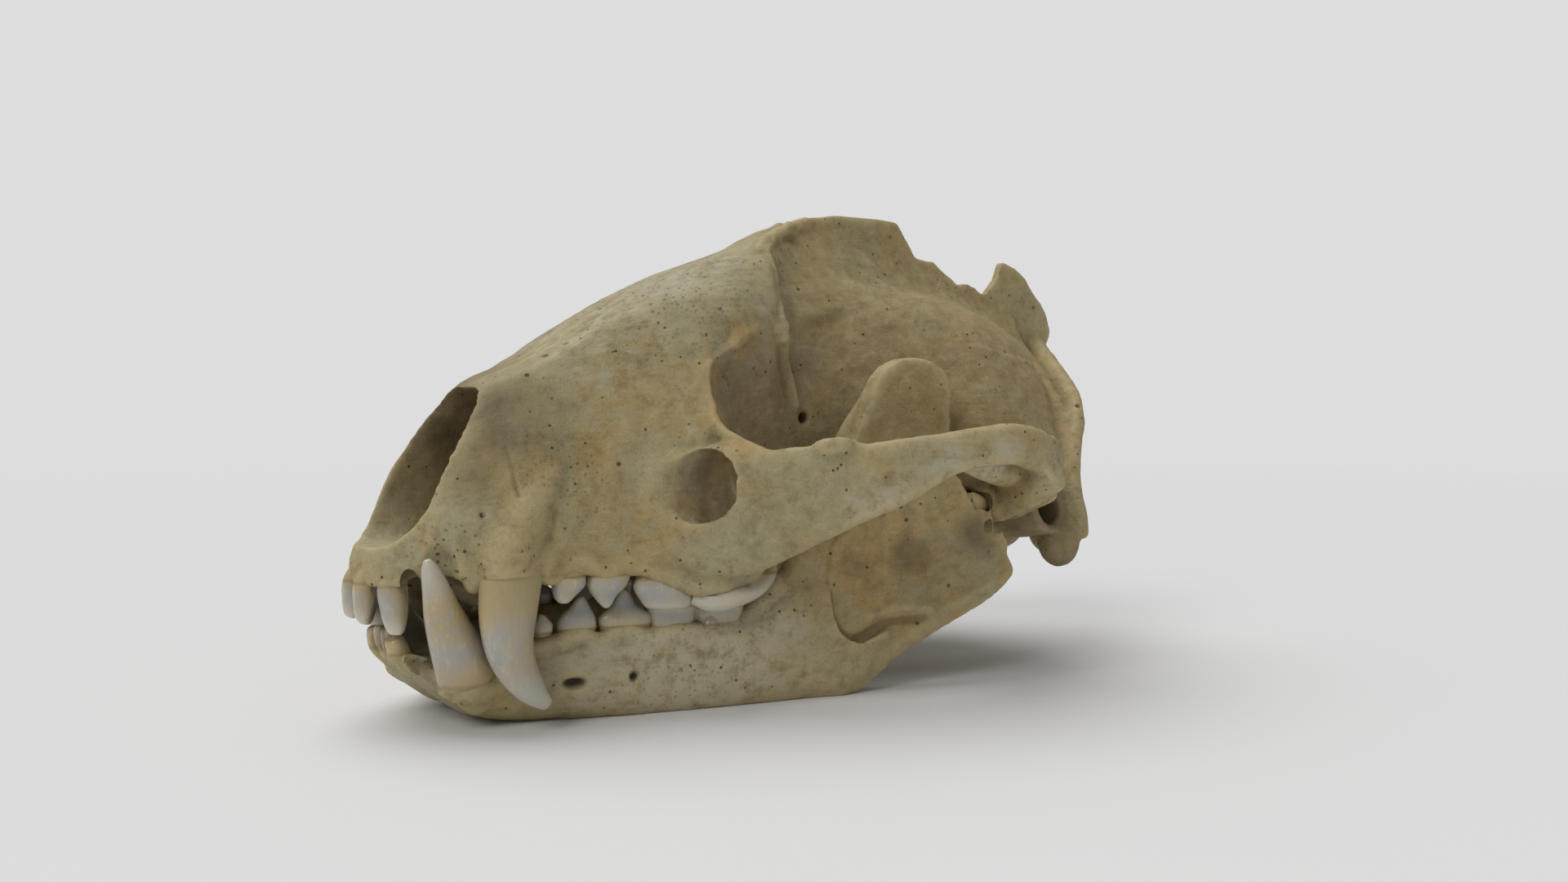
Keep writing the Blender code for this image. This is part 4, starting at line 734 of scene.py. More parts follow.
# Tones of the surfaces, as screen values.
OCHRE = (172, 153, 106)
GREY_GREEN = (160, 155, 122)
BROWN = (156, 134, 92)
ROSY = (156, 137, 106)
MOSS = (132, 126, 92)
DEEP_MOSS = (108, 99, 66)
HONEY = (184, 150, 90)
PALE = (192, 186, 160)
UMBER = (116, 97, 64)
# The tone of the painted shade where the surface is closed in and in the dark spots.
PAINTED_SHADE = (82, 69, 48)
EDGE = (194, 176, 132)
# The tone of the painted shade in pores and pits.
PORE_SHADE = (54, 43, 30)
ENAMEL = (182, 172, 144)
ENAMEL_BLUE = (166, 166, 162)
ENAMEL_LIGHT = (212, 205, 186)
ENAMEL_YELLOW = (188, 158, 92)
ENAMEL_STAIN = (158, 138, 98)
CEMENT = (180, 162, 118)
PLAQUE = (118, 98, 62)
FLOOR_TONE = (232, 232, 232)
FLOOR_TONE_2 = (231, 231, 231)

# Coats over the bone's ochre: the stain it keeps to, the pattern it follows, at which two marks of the
# pattern it begins and is full, how thick it gets and its tone.
BONE_COATS = [
    (None, "clouds", 0.46, 0.6, 0.5, GREY_GREEN),
    ("brown", "blotches", 0.25, 0.5, 1.0, BROWN),
    ("green", "stains", 0.25, 0.55, 1.0, GREY_GREEN),
    ("rosy", "stains", 0.2, 0.5, 1.0, ROSY),
    ("warm", "blotches", 0.36, 0.56, 1.0, HONEY),
    ("moss", "tufts", 0.45, 0.58, 1.0, DEEP_MOSS),
    (None, "stains", 0.56, 0.7, 0.3, HONEY),
    (None, "blotches", 0.56, 0.7, 0.45, MOSS),
    ("pale", "mottle", 0.2, 0.6, 1.0, PALE),
    (None, "mottle", 0.5, 0.76, 0.45, PALE),
    (None, "mottle", 0.5, 0.3, 0.4, UMBER),
    (None, "grain", 0.52, 0.78, 0.35, UMBER),
    (None, "grain", 0.44, 0.26, 0.35, PALE),
    (None, "speckle", 0.48, 0.76, 0.3, PALE),
    (None, "speckle", 0.46, 0.28, 0.35, UMBER),
    ("streaky", "strands", 0.5, 0.7, 0.75, PALE),
    ("streaky", "strands", 0.48, 0.3, 0.55, UMBER),
    ("edge", "mottle", 0.2, 0.6, 0.7, EDGE),
    # Painted shade: umber in the hollows of the surface.
    ("hollow", None, 0.15, 1.0, 0.6, UMBER),
    # Painted shade where the surface is closed in.
    ("occlusion_shade", None, 0.45, 0.95, 0.42, PAINTED_SHADE),
]
# The same over the enamel.
ENAMEL_COATS = [
    (None, "clouds", 0.32, 0.68, 1.0, ENAMEL_BLUE),
    ("yellow", "cloudlets", 0.2, 0.7, 1.0, ENAMEL_YELLOW),
    (None, "cracks", 0.56, 0.74, 0.3, ENAMEL_STAIN),
    (None, "cracks", 0.44, 0.28, 0.4, ENAMEL_LIGHT),
    (None, "cloudlets", 0.55, 0.75, 0.4, ENAMEL_LIGHT),
    ("hollow", None, 0.1, 0.7, 0.6, ENAMEL_STAIN),
    ("edge", None, 0.3, 1.0, 0.5, ENAMEL_YELLOW),
    ("crown", None, 0.55, 1.0, 0.6, ENAMEL_LIGHT),
    (None, "gum_line", 0.5, 0.1, 0.6, ENAMEL_YELLOW),
]
# Pores: how far apart they are and their radius in millimetres.
FINE_PORES = (1.7, 0.17)
WIDE_PORES = (4.6, 0.3)
CROWDED_PORES = (1.0, 0.2)
# How strongly shade is painted into the pores and pits.
PORE_SHADE_STRENGTH = 0.85
BONE_RELIEF = 0.26
ENAMEL_RELIEF = 0.09
# Inputs and output of a colour mix.
MIX_FIRST = 6
MIX_SECOND = 7
MIX_RESULT = 2

FLOOR_RADIUS = 0.9
FLOOR_SIDES = 96
# Where the floor starts to fade out and where it has gone, as shares of its radius.
FLOOR_FADE = (0.45, 0.98)
SKY_COLOUR = (1.0, 1.0, 1.0, 1.0)
SKY_STRENGTH = 0.28
BACKDROP_TONE = (221, 221, 221)
# Lamps: strength, spread, tilt from upright and the way it leans, as turned from the camera.
HIGH_LIGHT = (1.58, math.radians(56), math.radians(24), math.radians(-135))
FRONT_LIGHT = (0.8, math.radians(26), math.radians(52), math.radians(-30))
CAMERA_LENS = 32.8125
CAMERA_SENSOR = 36.0
CAMERA_AZIMUTH = math.radians(53.79)
CAMERA_ELEVATION = math.radians(2.0)
CAMERA_PLACE = (0.190136, -0.133684, 0.045979)
CAMERA_REACH = (0.01, 50.0)


def smooth_path(points, steps):
    """Points on a smooth curve through the given ones, with so many steps in each span."""
    given = np.array(points, float)
    before = np.vstack([2 * given[0] - given[1], given[:-1]])
    after = np.vstack([given[1:], 2 * given[-1] - given[-2]])
    slopes = (after - before) / 2
    found = []
    for i in range(len(given) - 1):
        for t in np.arange(steps) / steps:
            start = (2 * t**3 - 3 * t**2 + 1) * given[i] + (t**3 - 2 * t**2 + t) * slopes[i]
            end = (3 * t**2 - 2 * t**3) * given[i + 1] + (t**3 - t**2) * slopes[i + 1]
            found.append(start + end)
    found.append(given[-1])
    return np.array(found)


def smooth_ring(points, steps):
    """The same round a closed outline."""
    given = np.array(points, float)
    wrapped = np.vstack([given[-1:], given, given[:2]])
    return smooth_path(wrapped, steps)[steps : -steps - 1]


def add_object(name, bm):
    """A closed mesh with its faces pointing out, as an object in the scene."""
    bm.normal_update()
    bmesh.ops.recalc_face_normals(bm, faces=bm.faces)
    mesh = bpy.data.meshes.new(name)
    bm.to_mesh(mesh)
    bm.free()
    item = bpy.data.objects.new(name, mesh)
    bpy.context.scene.collection.objects.link(item)
    return item


def loft(name, rings):
    """A closed solid through rings of the same number of points, with flat ends."""
    bm = bmesh.new()
    loops = [[bm.verts.new(point) for point in ring] for ring in rings]
    for first, second in zip(loops, loops[1:]):
        for i in range(len(first)):
            j = (i + 1) % len(first)
            bm.faces.new((first[i], first[j], second[j], second[i]))
    bm.faces.new(loops[0])
    bm.faces.new(loops[-1])
    return add_object(name, bm)


def ellipsoid(name, centre, half, degrees=0, axis="X"):
    """A round lump with three half sizes, turned about its centre."""
    bm = bmesh.new()
    across, upright = LUMP_SEGMENTS
    bmesh.ops.create_uvsphere(bm, u_segments=across, v_segments=upright, radius=1.0)
    turn = Matrix.Rotation(math.radians(degrees), 4, axis)
    bm.transform(Matrix.Translation(centre) @ turn @ Matrix.Diagonal((*half, 1.0)))
    return add_object(name, bm)


def sweep(name, rows, sides=ROD_SIDES, up=UPWARDS):
    """A solid of oval section along a path. A row is a point, half a width across the path and half a
    height nearest to up."""
    rows = np.array(rows, float)
    path = rows[:, :3]
    rings = []
    for i, (point, width, height) in enumerate(zip(path, rows[:, 3], rows[:, 4])):
        along = path[min(i + 1, len(path) - 1)] - path[max(i - 1, 0)]
        along /= np.linalg.norm(along)
        across = np.cross(along, up)
        across /= np.linalg.norm(across)
        rise = np.cross(across, along)
        ring = []
        for k in range(sides):
            angle = 2 * math.pi * k / sides
            ring.append(point + across * width * math.cos(angle) + rise * height * math.sin(angle))
        rings.append(ring)
    return loft(name, rings)


def ridges(table):
    """Round rods along smooth paths, each row of which ends in a radius."""
    found = []
    for name, (up, rows) in table.items():
        rows = smooth_path(rows, RIDGE_STEPS)
        found.append(sweep(name, np.column_stack([rows, rows[:, 3]]), ROD_SIDES, up))
    return found


def rods(table):
    """Oval rods along straight spans."""
    return [sweep(name, rows) for name, rows in table.items()]


def lumps(table):
    """Rounded lumps, each from its own row."""
    return [ellipsoid(name, *row) for name, row in table.items()]


def plate(name, outline, place, thickness):
    """A flat plate: its outline is given in two numbers, which place turns to a point and a direction."""
    bm = bmesh.new()
    faces = []
    for side in (-0.5, 0.5):
        corners = []
        for along, height in outline:
            point, across = place(along, height)
            corners.append(bm.verts.new(np.array(point) + np.array(across) * thickness * side))
        faces.append(corners)
    for i in range(len(outline)):
        j = (i + 1) % len(outline)
        bm.faces.new((faces[0][i], faces[0][j], faces[1][j], faces[1][i]))
    for corners in faces:
        bmesh.ops.triangulate(bm, faces=[bm.faces.new(corners)])
    return add_object(name, bm)


def mirrored(item):
    """The same piece on the animal's right."""
    bm = bmesh.new()
    bm.from_mesh(item.data)
    bm.transform(Matrix.Scale(-1.0, 4, (1.0, 0.0, 0.0)))
    return add_object(item.name + "_right", bm)


def both_sides(items):
    """The pieces of the left with their mirror images."""
    return items + [mirrored(item) for item in items]


def joined(name, items):
    """All the pieces in one mesh, each still a surface of its own."""
    bm = bmesh.new()
    for item in items:
        bm.from_mesh(item.data)
        bpy.data.objects.remove(item, do_unlink=True)
    return add_object(name, bm)


def settle(item):
    """Makes the result of the modifiers the object's own mesh."""
    graph = bpy.context.evaluated_depsgraph_get()
    mesh = bpy.data.meshes.new_from_object(item.evaluated_get(graph))
    item.modifiers.clear()
    item.data = mesh


def fused(item, grid, smoothing):
    """One skin round all the overlapping surfaces, softened a little as bone is."""
    remesh = item.modifiers.new("skin", "REMESH")
    remesh.mode = "VOXEL"
    remesh.voxel_size = grid
    if smoothing:
        soften = item.modifiers.new("soften", "SMOOTH")
        soften.factor = 0.5
        soften.iterations = smoothing
    settle(item)


def combine(item, others, operation):
    """Adds, cuts away or keeps the common part of the other pieces, which are then removed."""
    group = bpy.data.collections.new("pieces")
    bpy.context.scene.collection.children.link(group)
    for other in others:
        group.objects.link(other)
    change = item.modifiers.new("combine", "BOOLEAN")
    change.operation = operation
    change.operand_type = "COLLECTION"
    change.collection = group
    change.solver = "MANIFOLD"
    settle(item)
    for other in others:
        bpy.data.objects.remove(other, do_unlink=True)
    bpy.data.collections.remove(group)


def cranium_ring(row):
    """One section of the cranium, both sides."""
    at, roof, brow_x, brow_z, side_x, side_z, edge_x, edge_z, base = row
    half = [
        (0.0, roof),
        (0.55 * brow_x, roof - 0.16 * (roof - brow_z)),
        (brow_x, brow_z),
        (side_x, side_z),
        (edge_x, edge_z),
        (0.7 * edge_x, 0.5 * (edge_z + base)),
        (0.0, base),
    ]
    other = [(-x, z) for x, z in half[-2:0:-1]]
    return [(x, at, z) for x, z in smooth_ring(half + other, RING_STEPS)]


def cranium_body():
    """The cranium without its arches, crests and lumps."""
    rows = smooth_path(CRANIUM_SECTIONS, SECTION_STEPS)
    return loft("body", [cranium_ring(row) for row in rows])


def rounded_section(at, middle, half_width, low, high, taper=0.0, corner=0.75, sides=ROD_SIDES):
    """An upright section with rounded corners; taper narrows its lower half by that share."""
    centre = (low + high) / 2
    half_height = (high - low) / 2
    ring = []
    for k in range(sides):
        angle = 2 * math.pi * k / sides
        c, s = math.cos(angle), math.sin(angle)
        wide = half_width * (1.0 - taper * max(0.0, -s))
        x = middle + wide * math.copysign(abs(c) ** corner, c)
        z = centre + half_height * math.copysign(abs(s) ** corner, s)
        ring.append((x, at, z))
    return ring


def cheek_arch():
    """The cheek arch, whose upright sections turn with its course."""
    rows = smooth_path(ARCH_SECTIONS, SECTION_STEPS)
    rings = []
    for i, (at, outer, low, high, thick) in enumerate(rows):
        before = rows[max(i - 1, 0)]
        after = rows[min(i + 1, len(rows) - 1)]
        turn = math.atan2(after[1] - before[1], after[0] - before[0])
        ring = []
        for x, y, z in rounded_section(0.0, 0.0, thick / 2, low, high):
            ring.append((outer - thick / 2 + x * math.cos(turn), at - x * math.sin(turn), z))
        rings.append(ring)
    return loft("arch", rings)


def crest():
    """The thin plate of the sagittal crest and the hollow-sided foot on which it stands."""
    outline = CREST_EDGE + CREST_BURIED_EDGE
    blade = plate("blade", outline, lambda at, z: ((0.0, at, z), SIDEWAYS), CREST_THICKNESS)
    rings = []
    for at, heights in CREST_FOOT:
        half = list(zip(CREST_FOOT_WIDTHS, heights))
        half.append((CREST_FOOT_SUNK_WIDTH * CREST_FOOT_WIDTHS[-1], heights[-1] - CREST_FOOT_DEPTH))
        rings.append([(-x, at, z) for x, z in reversed(half)] + [(x, at, z) for x, z in half])
    return [blade, loft("crest_foot", rings)]


def pterygoid():
    """The hooked plate behind the palate."""
    return plate("pterygoid", PTERYGOID, lambda at, z: ((PTERYGOID_X, at, z), SIDEWAYS), PTERYGOID_THICKNESS)


def nose_opening():
    """The pear-shaped room behind the opening of the nose, narrowing inwards."""
    other = [(-x, z) for x, z in NOSE_OPENING[-2:0:-1]]
    profile = smooth_ring(NOSE_OPENING + other, NOSE_RING_STEPS)
    rings = []
    for at, size in NOSE_DEPTHS:
        rings.append([(x * size, at, NOSE_MIDDLE_Z + (z - NOSE_MIDDLE_Z) * size) for x, z in profile])
    return loft("nose", rings)


def cranium_cutters():
    """What is cut from the cranium: the nose, orbits, brain room, ear and joint openings."""
    paired = both_sides(rods(SIDE_RODS_CUT) + lumps(SIDE_LUMPS_CUT))
    return paired + rods(MIDDLE_RODS_CUT) + lumps(MIDDLE_LUMPS_CUT) + [nose_opening()]


def nose_bones():
    """The curled bones inside the nose and the wall between its two halves."""
    scrolls = []
    for height, x, radius, start in NOSE_SCROLLS:
        rows = []
        for on, inward, up, wide, high in NOSE_SCROLL_TIP:
            rows.append((x - inward, start + on, height + up, wide * radius, high * radius))
        rows.append((x - NOSE_SCROLL_INWARD, NOSE_SCROLL_END, height + NOSE_SCROLL_RISE, radius, radius))
        scrolls.append(sweep("scroll", rows))
    wall = plate("septum", SEPTUM, lambda at, z: ((0.0, at, z), SIDEWAYS), SEPTUM_THICKNESS)
    return both_sides(scrolls) + [wall]


def build_cranium():
    """The whole cranium as one skin, without the fine forms."""
    sides = ridges(CRANIUM_RIDGES) + rods(CRANIUM_RODS) + lumps(CRANIUM_LUMPS)
    sides += [cheek_arch(), pterygoid()]
    cranium = joined("cranium", [cranium_body()] + crest() + both_sides(sides))
    fused(cranium, UNION_GRID, UNION_SOFTENING)
    combine(cranium, cranium_cutters(), "DIFFERENCE")
    cranium = joined("cranium", [cranium] + nose_bones())
    fused(cranium, FINISH_GRID, FINISH_SOFTENING)
    keep_largest(cranium)
    return cranium


def ramus_place(at, height, inward=0.0):
    """Where the rising branch lies: it spreads outwards to the rear and leans out at its top."""
    foot_x, foot_at = RAMUS_FOOT
    x = foot_x + RAMUS_SPREAD * (at - foot_at) + RAMUS_LEAN * max(height - RAMUS_LEAN_FROM, 0.0)
    return (x - inward, at, height), SIDEWAYS


def hollow_place(at, height):
    """The same, moved outwards so that a plate there bites into the branch's outer face."""
    (x, y, z), across = ramus_place(at, height)
    return (x + RAMUS_THICKNESS - MUSCLE_HOLLOW_DEPTH, y, z), across


def ramus_ridges():
    """The thicker edges of the rising branch and the neck that carries the condyle."""
    table = {}
    for name, (up, rows) in RAMUS_RIDGES.items():
        table[name] = (up, [(*ramus_place(at, z, inward)[0], radius) for at, z, radius, inward in rows])
    return ridges(table)


def jaw_half():
    """The left half of the lower jaw, a little past the middle, without its teeth."""
    rows = smooth_path(JAW_SECTIONS, SECTION_STEPS)
    body = loft("jaw_body", [rounded_section(*row, np.interp(row[0], *CHIN_TAPER)) for row in rows])
    outline = smooth_ring(RAMUS_OUTLINE, OUTLINE_STEPS)
    branch = plate("branch", outline, ramus_place, RAMUS_THICKNESS)
    condyle = ellipsoid("condyle", CONDYLE_CENTRE, CONDYLE_HALF, CONDYLE_TILT, "Y")
    half = joined("jaw_half", [body, branch, condyle] + ramus_ridges() + ridges(JAW_RIDGES))
    fused(half, FINISH_GRID, FINISH_SOFTENING)
    outline = smooth_ring(MUSCLE_HOLLOW, OUTLINE_STEPS)
    hollow = plate("muscle_hollow", outline, hollow_place, RAMUS_THICKNESS)
    combine(half, [hollow], "DIFFERENCE")
    fused(half, FINISH_GRID, FINISH_SOFTENING)
    keep_largest(half)
    return half


def oval(x, at, z, half_x, half_at, turn=0.0, corner=1.0):
    """A level section of a tooth, turned about the upright; corner under 1 makes it squarer."""
    ring = []
    for k in range(TOOTH_SIDES):
        angle = 2 * math.pi * k / TOOTH_SIDES
        c, s = math.cos(angle), math.sin(angle)
        across = half_x * math.copysign(abs(c) ** corner, c)
        along = half_at * math.copysign(abs(s) ** corner, s)
        ring.append((x + across * math.cos(turn) + along * math.sin(turn),
                     at - across * math.sin(turn) + along * math.cos(turn), z))
    return ring


def premolar(x, thick, levels):
    """A crown pressed flat from the sides, thickest at its collar, on a root sunk into the jaw."""
    gum, front, rear = levels[0]
    middle = (front + rear) / 2
    longest = max(back - fore for _, fore, back in levels)
    away = math.copysign(CROWN_ROOT, gum - levels[-1][0])
    root_width, root_length = ROOT_SHARES[0] * thick, ROOT_SHARES[1] * (rear - front)
    rings = [oval(x - ROOT_INWARD, middle, gum + away, root_width, root_length, ROW_TURN)]
    for z, fore, back in smooth_path(levels, TOOTH_STEPS):
        width = thick * (POINT_SHARE + (1.0 - POINT_SHARE) * (back - fore) / longest)
        place = x + ((fore + back) / 2 - middle) * math.tan(ROW_TURN)
        rings.append(oval(place, (fore + back) / 2, z, width / 2, (back - fore) / 2, ROW_TURN))
    return loft("premolar", rings)


def canine(rows):
    """A curved fang of oval section."""
    rows = smooth_path(rows, TOOTH_STEPS)
    return sweep("canine", rows[:, [0, 1, 2, 4, 3]], TOOTH_SIDES, BACKWARDS)


def incisor(root, gum, tip, half_width, half_depth, end=None):
    """A peg with a spade-like crown; end cuts it short where it is worn."""
    root, gum, tip = (np.array(point) for point in (root, gum, tip))
    if end is not None:
        tip = gum + (tip - gum) * (end - gum[2]) / (tip[2] - gum[2])
    crown = [gum + (tip - gum) * share for share in INCISOR_CROWN]
    path = np.array([root, gum, *crown, tip])
    widths = [half_width * share for share in INCISOR_WIDTHS]
    depths = [half_depth * share for share in INCISOR_DEPTHS]
    if end is not None:
        depths[3:] = [half_depth * share for share in WORN_DEPTHS]
    rows = smooth_path(np.column_stack([path, widths, depths]), TOOTH_STEPS)
    return sweep("incisor", rows, TOOTH_SIDES, BACKWARDS)


def cusp(x, at, tip, rise, radius):
    """A low cone on a molar's face."""
    shares = smooth_path(CUSP_SHAPE, CUSP_STEPS)
    return loft("cusp", [oval(x, at, tip + rise * f, radius * r, radius * r) for f, r in shares])


def upper_molar():
    """The square crown, sloping on its chewing face, with its outer wall and cusps."""
    (x, at), (half_x, half_at) = UPPER_MOLAR_CENTRE, UPPER_MOLAR_HALF
    rings = []
    for z, size in ((UPPER_MOLAR_ROOT, 0.8), (UPPER_MOLAR_GUM, 0.94)):
        rings.append(oval(x, at, z, half_x * size, half_at * size, ROW_TURN, UPPER_MOLAR_CORNER))
    for bevel, size in ((UPPER_MOLAR_BEVEL, 1.0), (0.0, 0.86)):
        level = oval(x, at, 0.0, half_x * size, half_at * size, ROW_TURN, UPPER_MOLAR_CORNER)
        ring = []
        for px, py, _ in level:
            share = (py - at + half_at) / (2 * half_at)
            ring.append((px, py, np.interp(share, (0.0, 1.0), UPPER_MOLAR_FACE) + bevel))
        rings.append(ring)
    wall = sweep("molar_wall", smooth_path(UPPER_MOLAR_WALL, TOOTH_STEPS), TOOTH_SIDES)
    return [loft("molar", rings), wall] + [cusp(*row, *UPPER_CUSP) for row in UPPER_MOLAR_CUSPS]


def lower_molars():
    """The low crowns of the lower molars with their cusps."""
    pieces = []
    for (x, at), (half_x, half_at), top in LOWER_MOLARS:
        levels = [(LOWER_MOLAR_ROOT, LOWER_MOLAR_ROOT_SHARE)]
        levels += [(top - under, size) for under, size in LOWER_MOLAR_LEVELS]
        rings = []
        for z, size in levels:
            rings.append(oval(x, at, z, half_x * size, half_at * size, ROW_TURN, LOWER_MOLAR_CORNER))
        pieces.append(loft("lower_molar", rings))
    return pieces + [cusp(*row, *LOWER_CUSP) for row in LOWER_MOLAR_CUSPS]


def grown(outline, by):
    """An outline with each side moved out by the same amount; it runs anticlockwise."""
    points = np.array(outline, float)
    found = []
    for i in range(len(points)):
        before, here, after = points[i - 1], points[i], points[(i + 1) % len(points)]
        first, second = here - before, after - here
        n1 = np.array([first[1], -first[0]]) / np.linalg.norm(first)
        n2 = np.array([second[1], -second[0]]) / np.linalg.norm(second)
        found.append(here + (n1 + n2) * by / (1 + n1 @ n2))
    return found


def plan_block(outline, low, high, by):
    """An upright block over an outline on the plan, in x and distance."""
    outline = grown(outline, by)
    return loft("block", [[(x, at, z) for x, at in outline] for z in (low - by, high + by)])


def cut_socket(item, place):
    """Empties the socket of a lost tooth."""
    combine(item, [ellipsoid("lost", place, LOST_SOCKET_HALF)], "DIFFERENCE")


def keep_largest(item):
    """Leaves only the largest closed surface."""
    ends = edge_ends(item)
    group = np.arange(len(item.data.vertices))
    while True:
        low = group[ends].min(axis=1)
        fresh = group.copy()
        np.minimum.at(fresh, ends[:, 0], low)
        np.minimum.at(fresh, ends[:, 1], low)
        fresh = fresh[fresh]
        if (fresh == group).all():
            break
        group = fresh
    main_group = np.bincount(group).argmax()
    bm = bmesh.new()
    bm.from_mesh(item.data)
    bm.verts.ensure_lookup_table()
    loose = [bm.verts[i] for i in np.flatnonzero(group != main_group)]
    bmesh.ops.delete(bm, geom=loose, context="VERTS")
    bm.to_mesh(item.data)
    bm.free()


def edge_ends(item):
    """The two points of every edge of a mesh, a row each."""
    ends = np.empty(len(item.data.edges) * 2, np.int32)
    item.data.edges.foreach_get("vertices", ends)
    return ends.reshape(-1, 2)


def points_of(item):
    """Every point of a mesh, a row each."""
    found = np.empty(len(item.data.vertices) * 3, np.float32)
    item.data.vertices.foreach_get("co", found)
    return found.reshape(-1, 3).astype(float)


def set_points(item, points):
    """Moves every point of a mesh."""
    item.data.vertices.foreach_set("co", points.astype(np.float32).ravel())
    item.data.update()


def outward(item):
    """The direction straight out of the surface at every point."""
    found = np.empty(len(item.data.vertices) * 3, np.float32)
    item.data.vertex_normals.foreach_get("vector", found)
    return found.reshape(-1, 3).astype(float)


def evened(values, ends, rounds):
    """Rows of values at the points, averaged with their neighbours' so many times."""
    count = len(values)
    neighbours = np.bincount(ends.ravel(), minlength=count)[:, None]
    for _ in range(rounds):
        total = np.empty_like(values)
        for column in range(values.shape[1]):
            forth = np.bincount(ends[:, 0], values[ends[:, 1], column], count)
            back = np.bincount(ends[:, 1], values[ends[:, 0], column], count)
            total[:, column] = forth + back
        values = 0.5 * values + 0.5 * total / neighbours
    return values


def unevenness(points, size, seed):
    """A smooth random number from -1 to 1 at each point, changing over about that many millimetres."""
    lattice = np.random.default_rng(seed).uniform(-1.0, 1.0, (NOISE_CELLS,) * 3)
    at = points / size
    cell = np.floor(at).astype(int)
    share = at - cell
    share = share * share * (3 - 2 * share)
    total = np.zeros(len(points))
    for corner in itertools.product((0, 1), repeat=3):
        i, j, k = ((cell + corner) % NOISE_CELLS).T
        weight = np.where(corner, share, 1 - share).prod(axis=1)
        total += lattice[i, j, k] * weight
    return total


def distance_to_line(points, line, reach):
    """How far each point is from a bent line, or the reach where it is further."""
    line = np.array(line, float)
    found = np.full(len(points), float(reach))
    near = ((points > line.min(axis=0) - reach) & (points < line.max(axis=0) + reach)).all(axis=1)
    here = points[near]
    best = found[near]
    for start, end in zip(line, line[1:]):
        along = end - start
        share = np.clip((here - start) @ along / (along @ along), 0.0, 1.0)
        best = np.minimum(best, np.linalg.norm(here - start - share[:, None] * along, axis=1))
    found[near] = best
    return found


def mirrored_points(points):
    """The points as if they all lay on the animal's left."""
    folded = points.copy()
    folded[:, 0] = np.abs(folded[:, 0])
    return folded


def on_surface(tree, places):
    """The places moved to the nearest points of the surface."""
    return [np.array(tree.find_nearest(Vector(place))[0]) for place in places]


def carve(item, lines, pits, rough):
    """Raises or sinks the surface along lines and at pits, and makes it a little uneven all over."""
    points = points_of(item)
    folded = mirrored_points(points)
    lift = np.zeros(len(points))
    for size, height, seed in rough:
        lift += height * unevenness(points, size, seed)
    tree = BVHTree.FromPolygons(points.tolist(), [face.vertices for face in item.data.polygons])
    for line, width, height in lines:
        reach = LINE_FADE * width
        away = distance_to_line(folded, on_surface(tree, smooth_path(line, LINE_STEPS)), reach)
        lift += height * np.exp(-((away / width) ** 2)) * (away < reach)
    holes = np.zeros(len(points))
    for place, radii, depth in pits:
        away = np.linalg.norm((folded - on_surface(tree, [place])[0]) / radii, axis=1)
        hole = np.exp(-(away**4))
        lift -= depth * hole
        holes = np.maximum(holes, hole)
    # The pits are kept so that the bone's finish paints shade in them.
    store(item, "hole", holes)
    set_points(item, points + outward(item) * lift[:, None])


def worn_smooth(item, middle, reach, rounds):
    """Rubs down the surface round a place."""
    points = points_of(item)
    share = np.clip(1.5 - np.linalg.norm(mirrored_points(points) - middle, axis=1) / reach, 0.0, 1.0)
    eased = evened(points, edge_ends(item), rounds)
    set_points(item, points + share[:, None] * (eased - points))


def store(item, name, values):
    """Keeps a number for every point of a piece, for its finish to read."""
    layer = item.data.attributes.new(name, "FLOAT", "POINT")
    layer.data.foreach_set("value", values.astype(np.float32))


def mark_bends(item):
    """Keeps how hollow the surface is at every point and how much of an edge, from 0 to 1."""
    ends = edge_ends(item)
    points = points_of(item)
    normals = outward(item)
    sunk = ((evened(points, ends, BEND_ROUNDS) - points) * normals).sum(axis=1)
    sunk = evened(sunk[:, None], ends, 2)[:, 0] / BEND_DEPTH
    store(item, "hollow", np.clip(sunk, 0.0, 1.0))
    store(item, "edge", np.clip(-sunk, 0.0, 1.0))


def mark_patches(item, patches):
    """Keeps how strongly each kind of stain or of painted shade covers every point."""
    folded = mirrored_points(points_of(item))
    size, amount_of_edge, seed = STAIN_EDGE
    wobble = unevenness(points_of(item), size, seed) * amount_of_edge
    for kind, spots in patches.items():
        cover = np.zeros(len(folded))
        for place, radius, amount in spots:
            away = np.linalg.norm((folded - place) / radius, axis=1)
            cover = np.maximum(cover, amount * np.clip(STAIN_REACH - away + wobble, 0.0, 1.0))
        store(item, kind, cover)


def sheltered_places(nodes):
    """Points over the whole skull, how much of the room round each is closed in, and its way out."""
    corners = []
    faces = []
    for node in nodes.values():
        first = len(corners)
        corners += [vertex.co.copy() for vertex in node.data.vertices]
        faces += [[first + i for i in face.vertices] for face in node.data.polygons]
    tree = BVHTree.FromPolygons(corners, faces)
    random = np.random.default_rng(SHELTER_SEED)
    around = random.normal(size=(SHELTER_RAYS, 3))
    around /= np.linalg.norm(around, axis=1)[:, None]
    around = [Vector(way) for way in around]
    places = KDTree(len(corners))
    closed = []
    ways = []
    i = 0
    for node in nodes.values():
        for vertex in node.data.vertices:
            normal = vertex.normal
            start = vertex.co + normal * SHELTER_START
            hits = 0
            for way in around:
                ray = way if way.dot(normal) > 0 else -way
                hits += tree.ray_cast(start, ray, SHELTER_REACH)[0] is not None
            closed.append(hits / SHELTER_RAYS)
            ways.append(normal.copy())
            places.insert(vertex.co, i)
            i += 1
    places.balance()
    return places, closed, ways


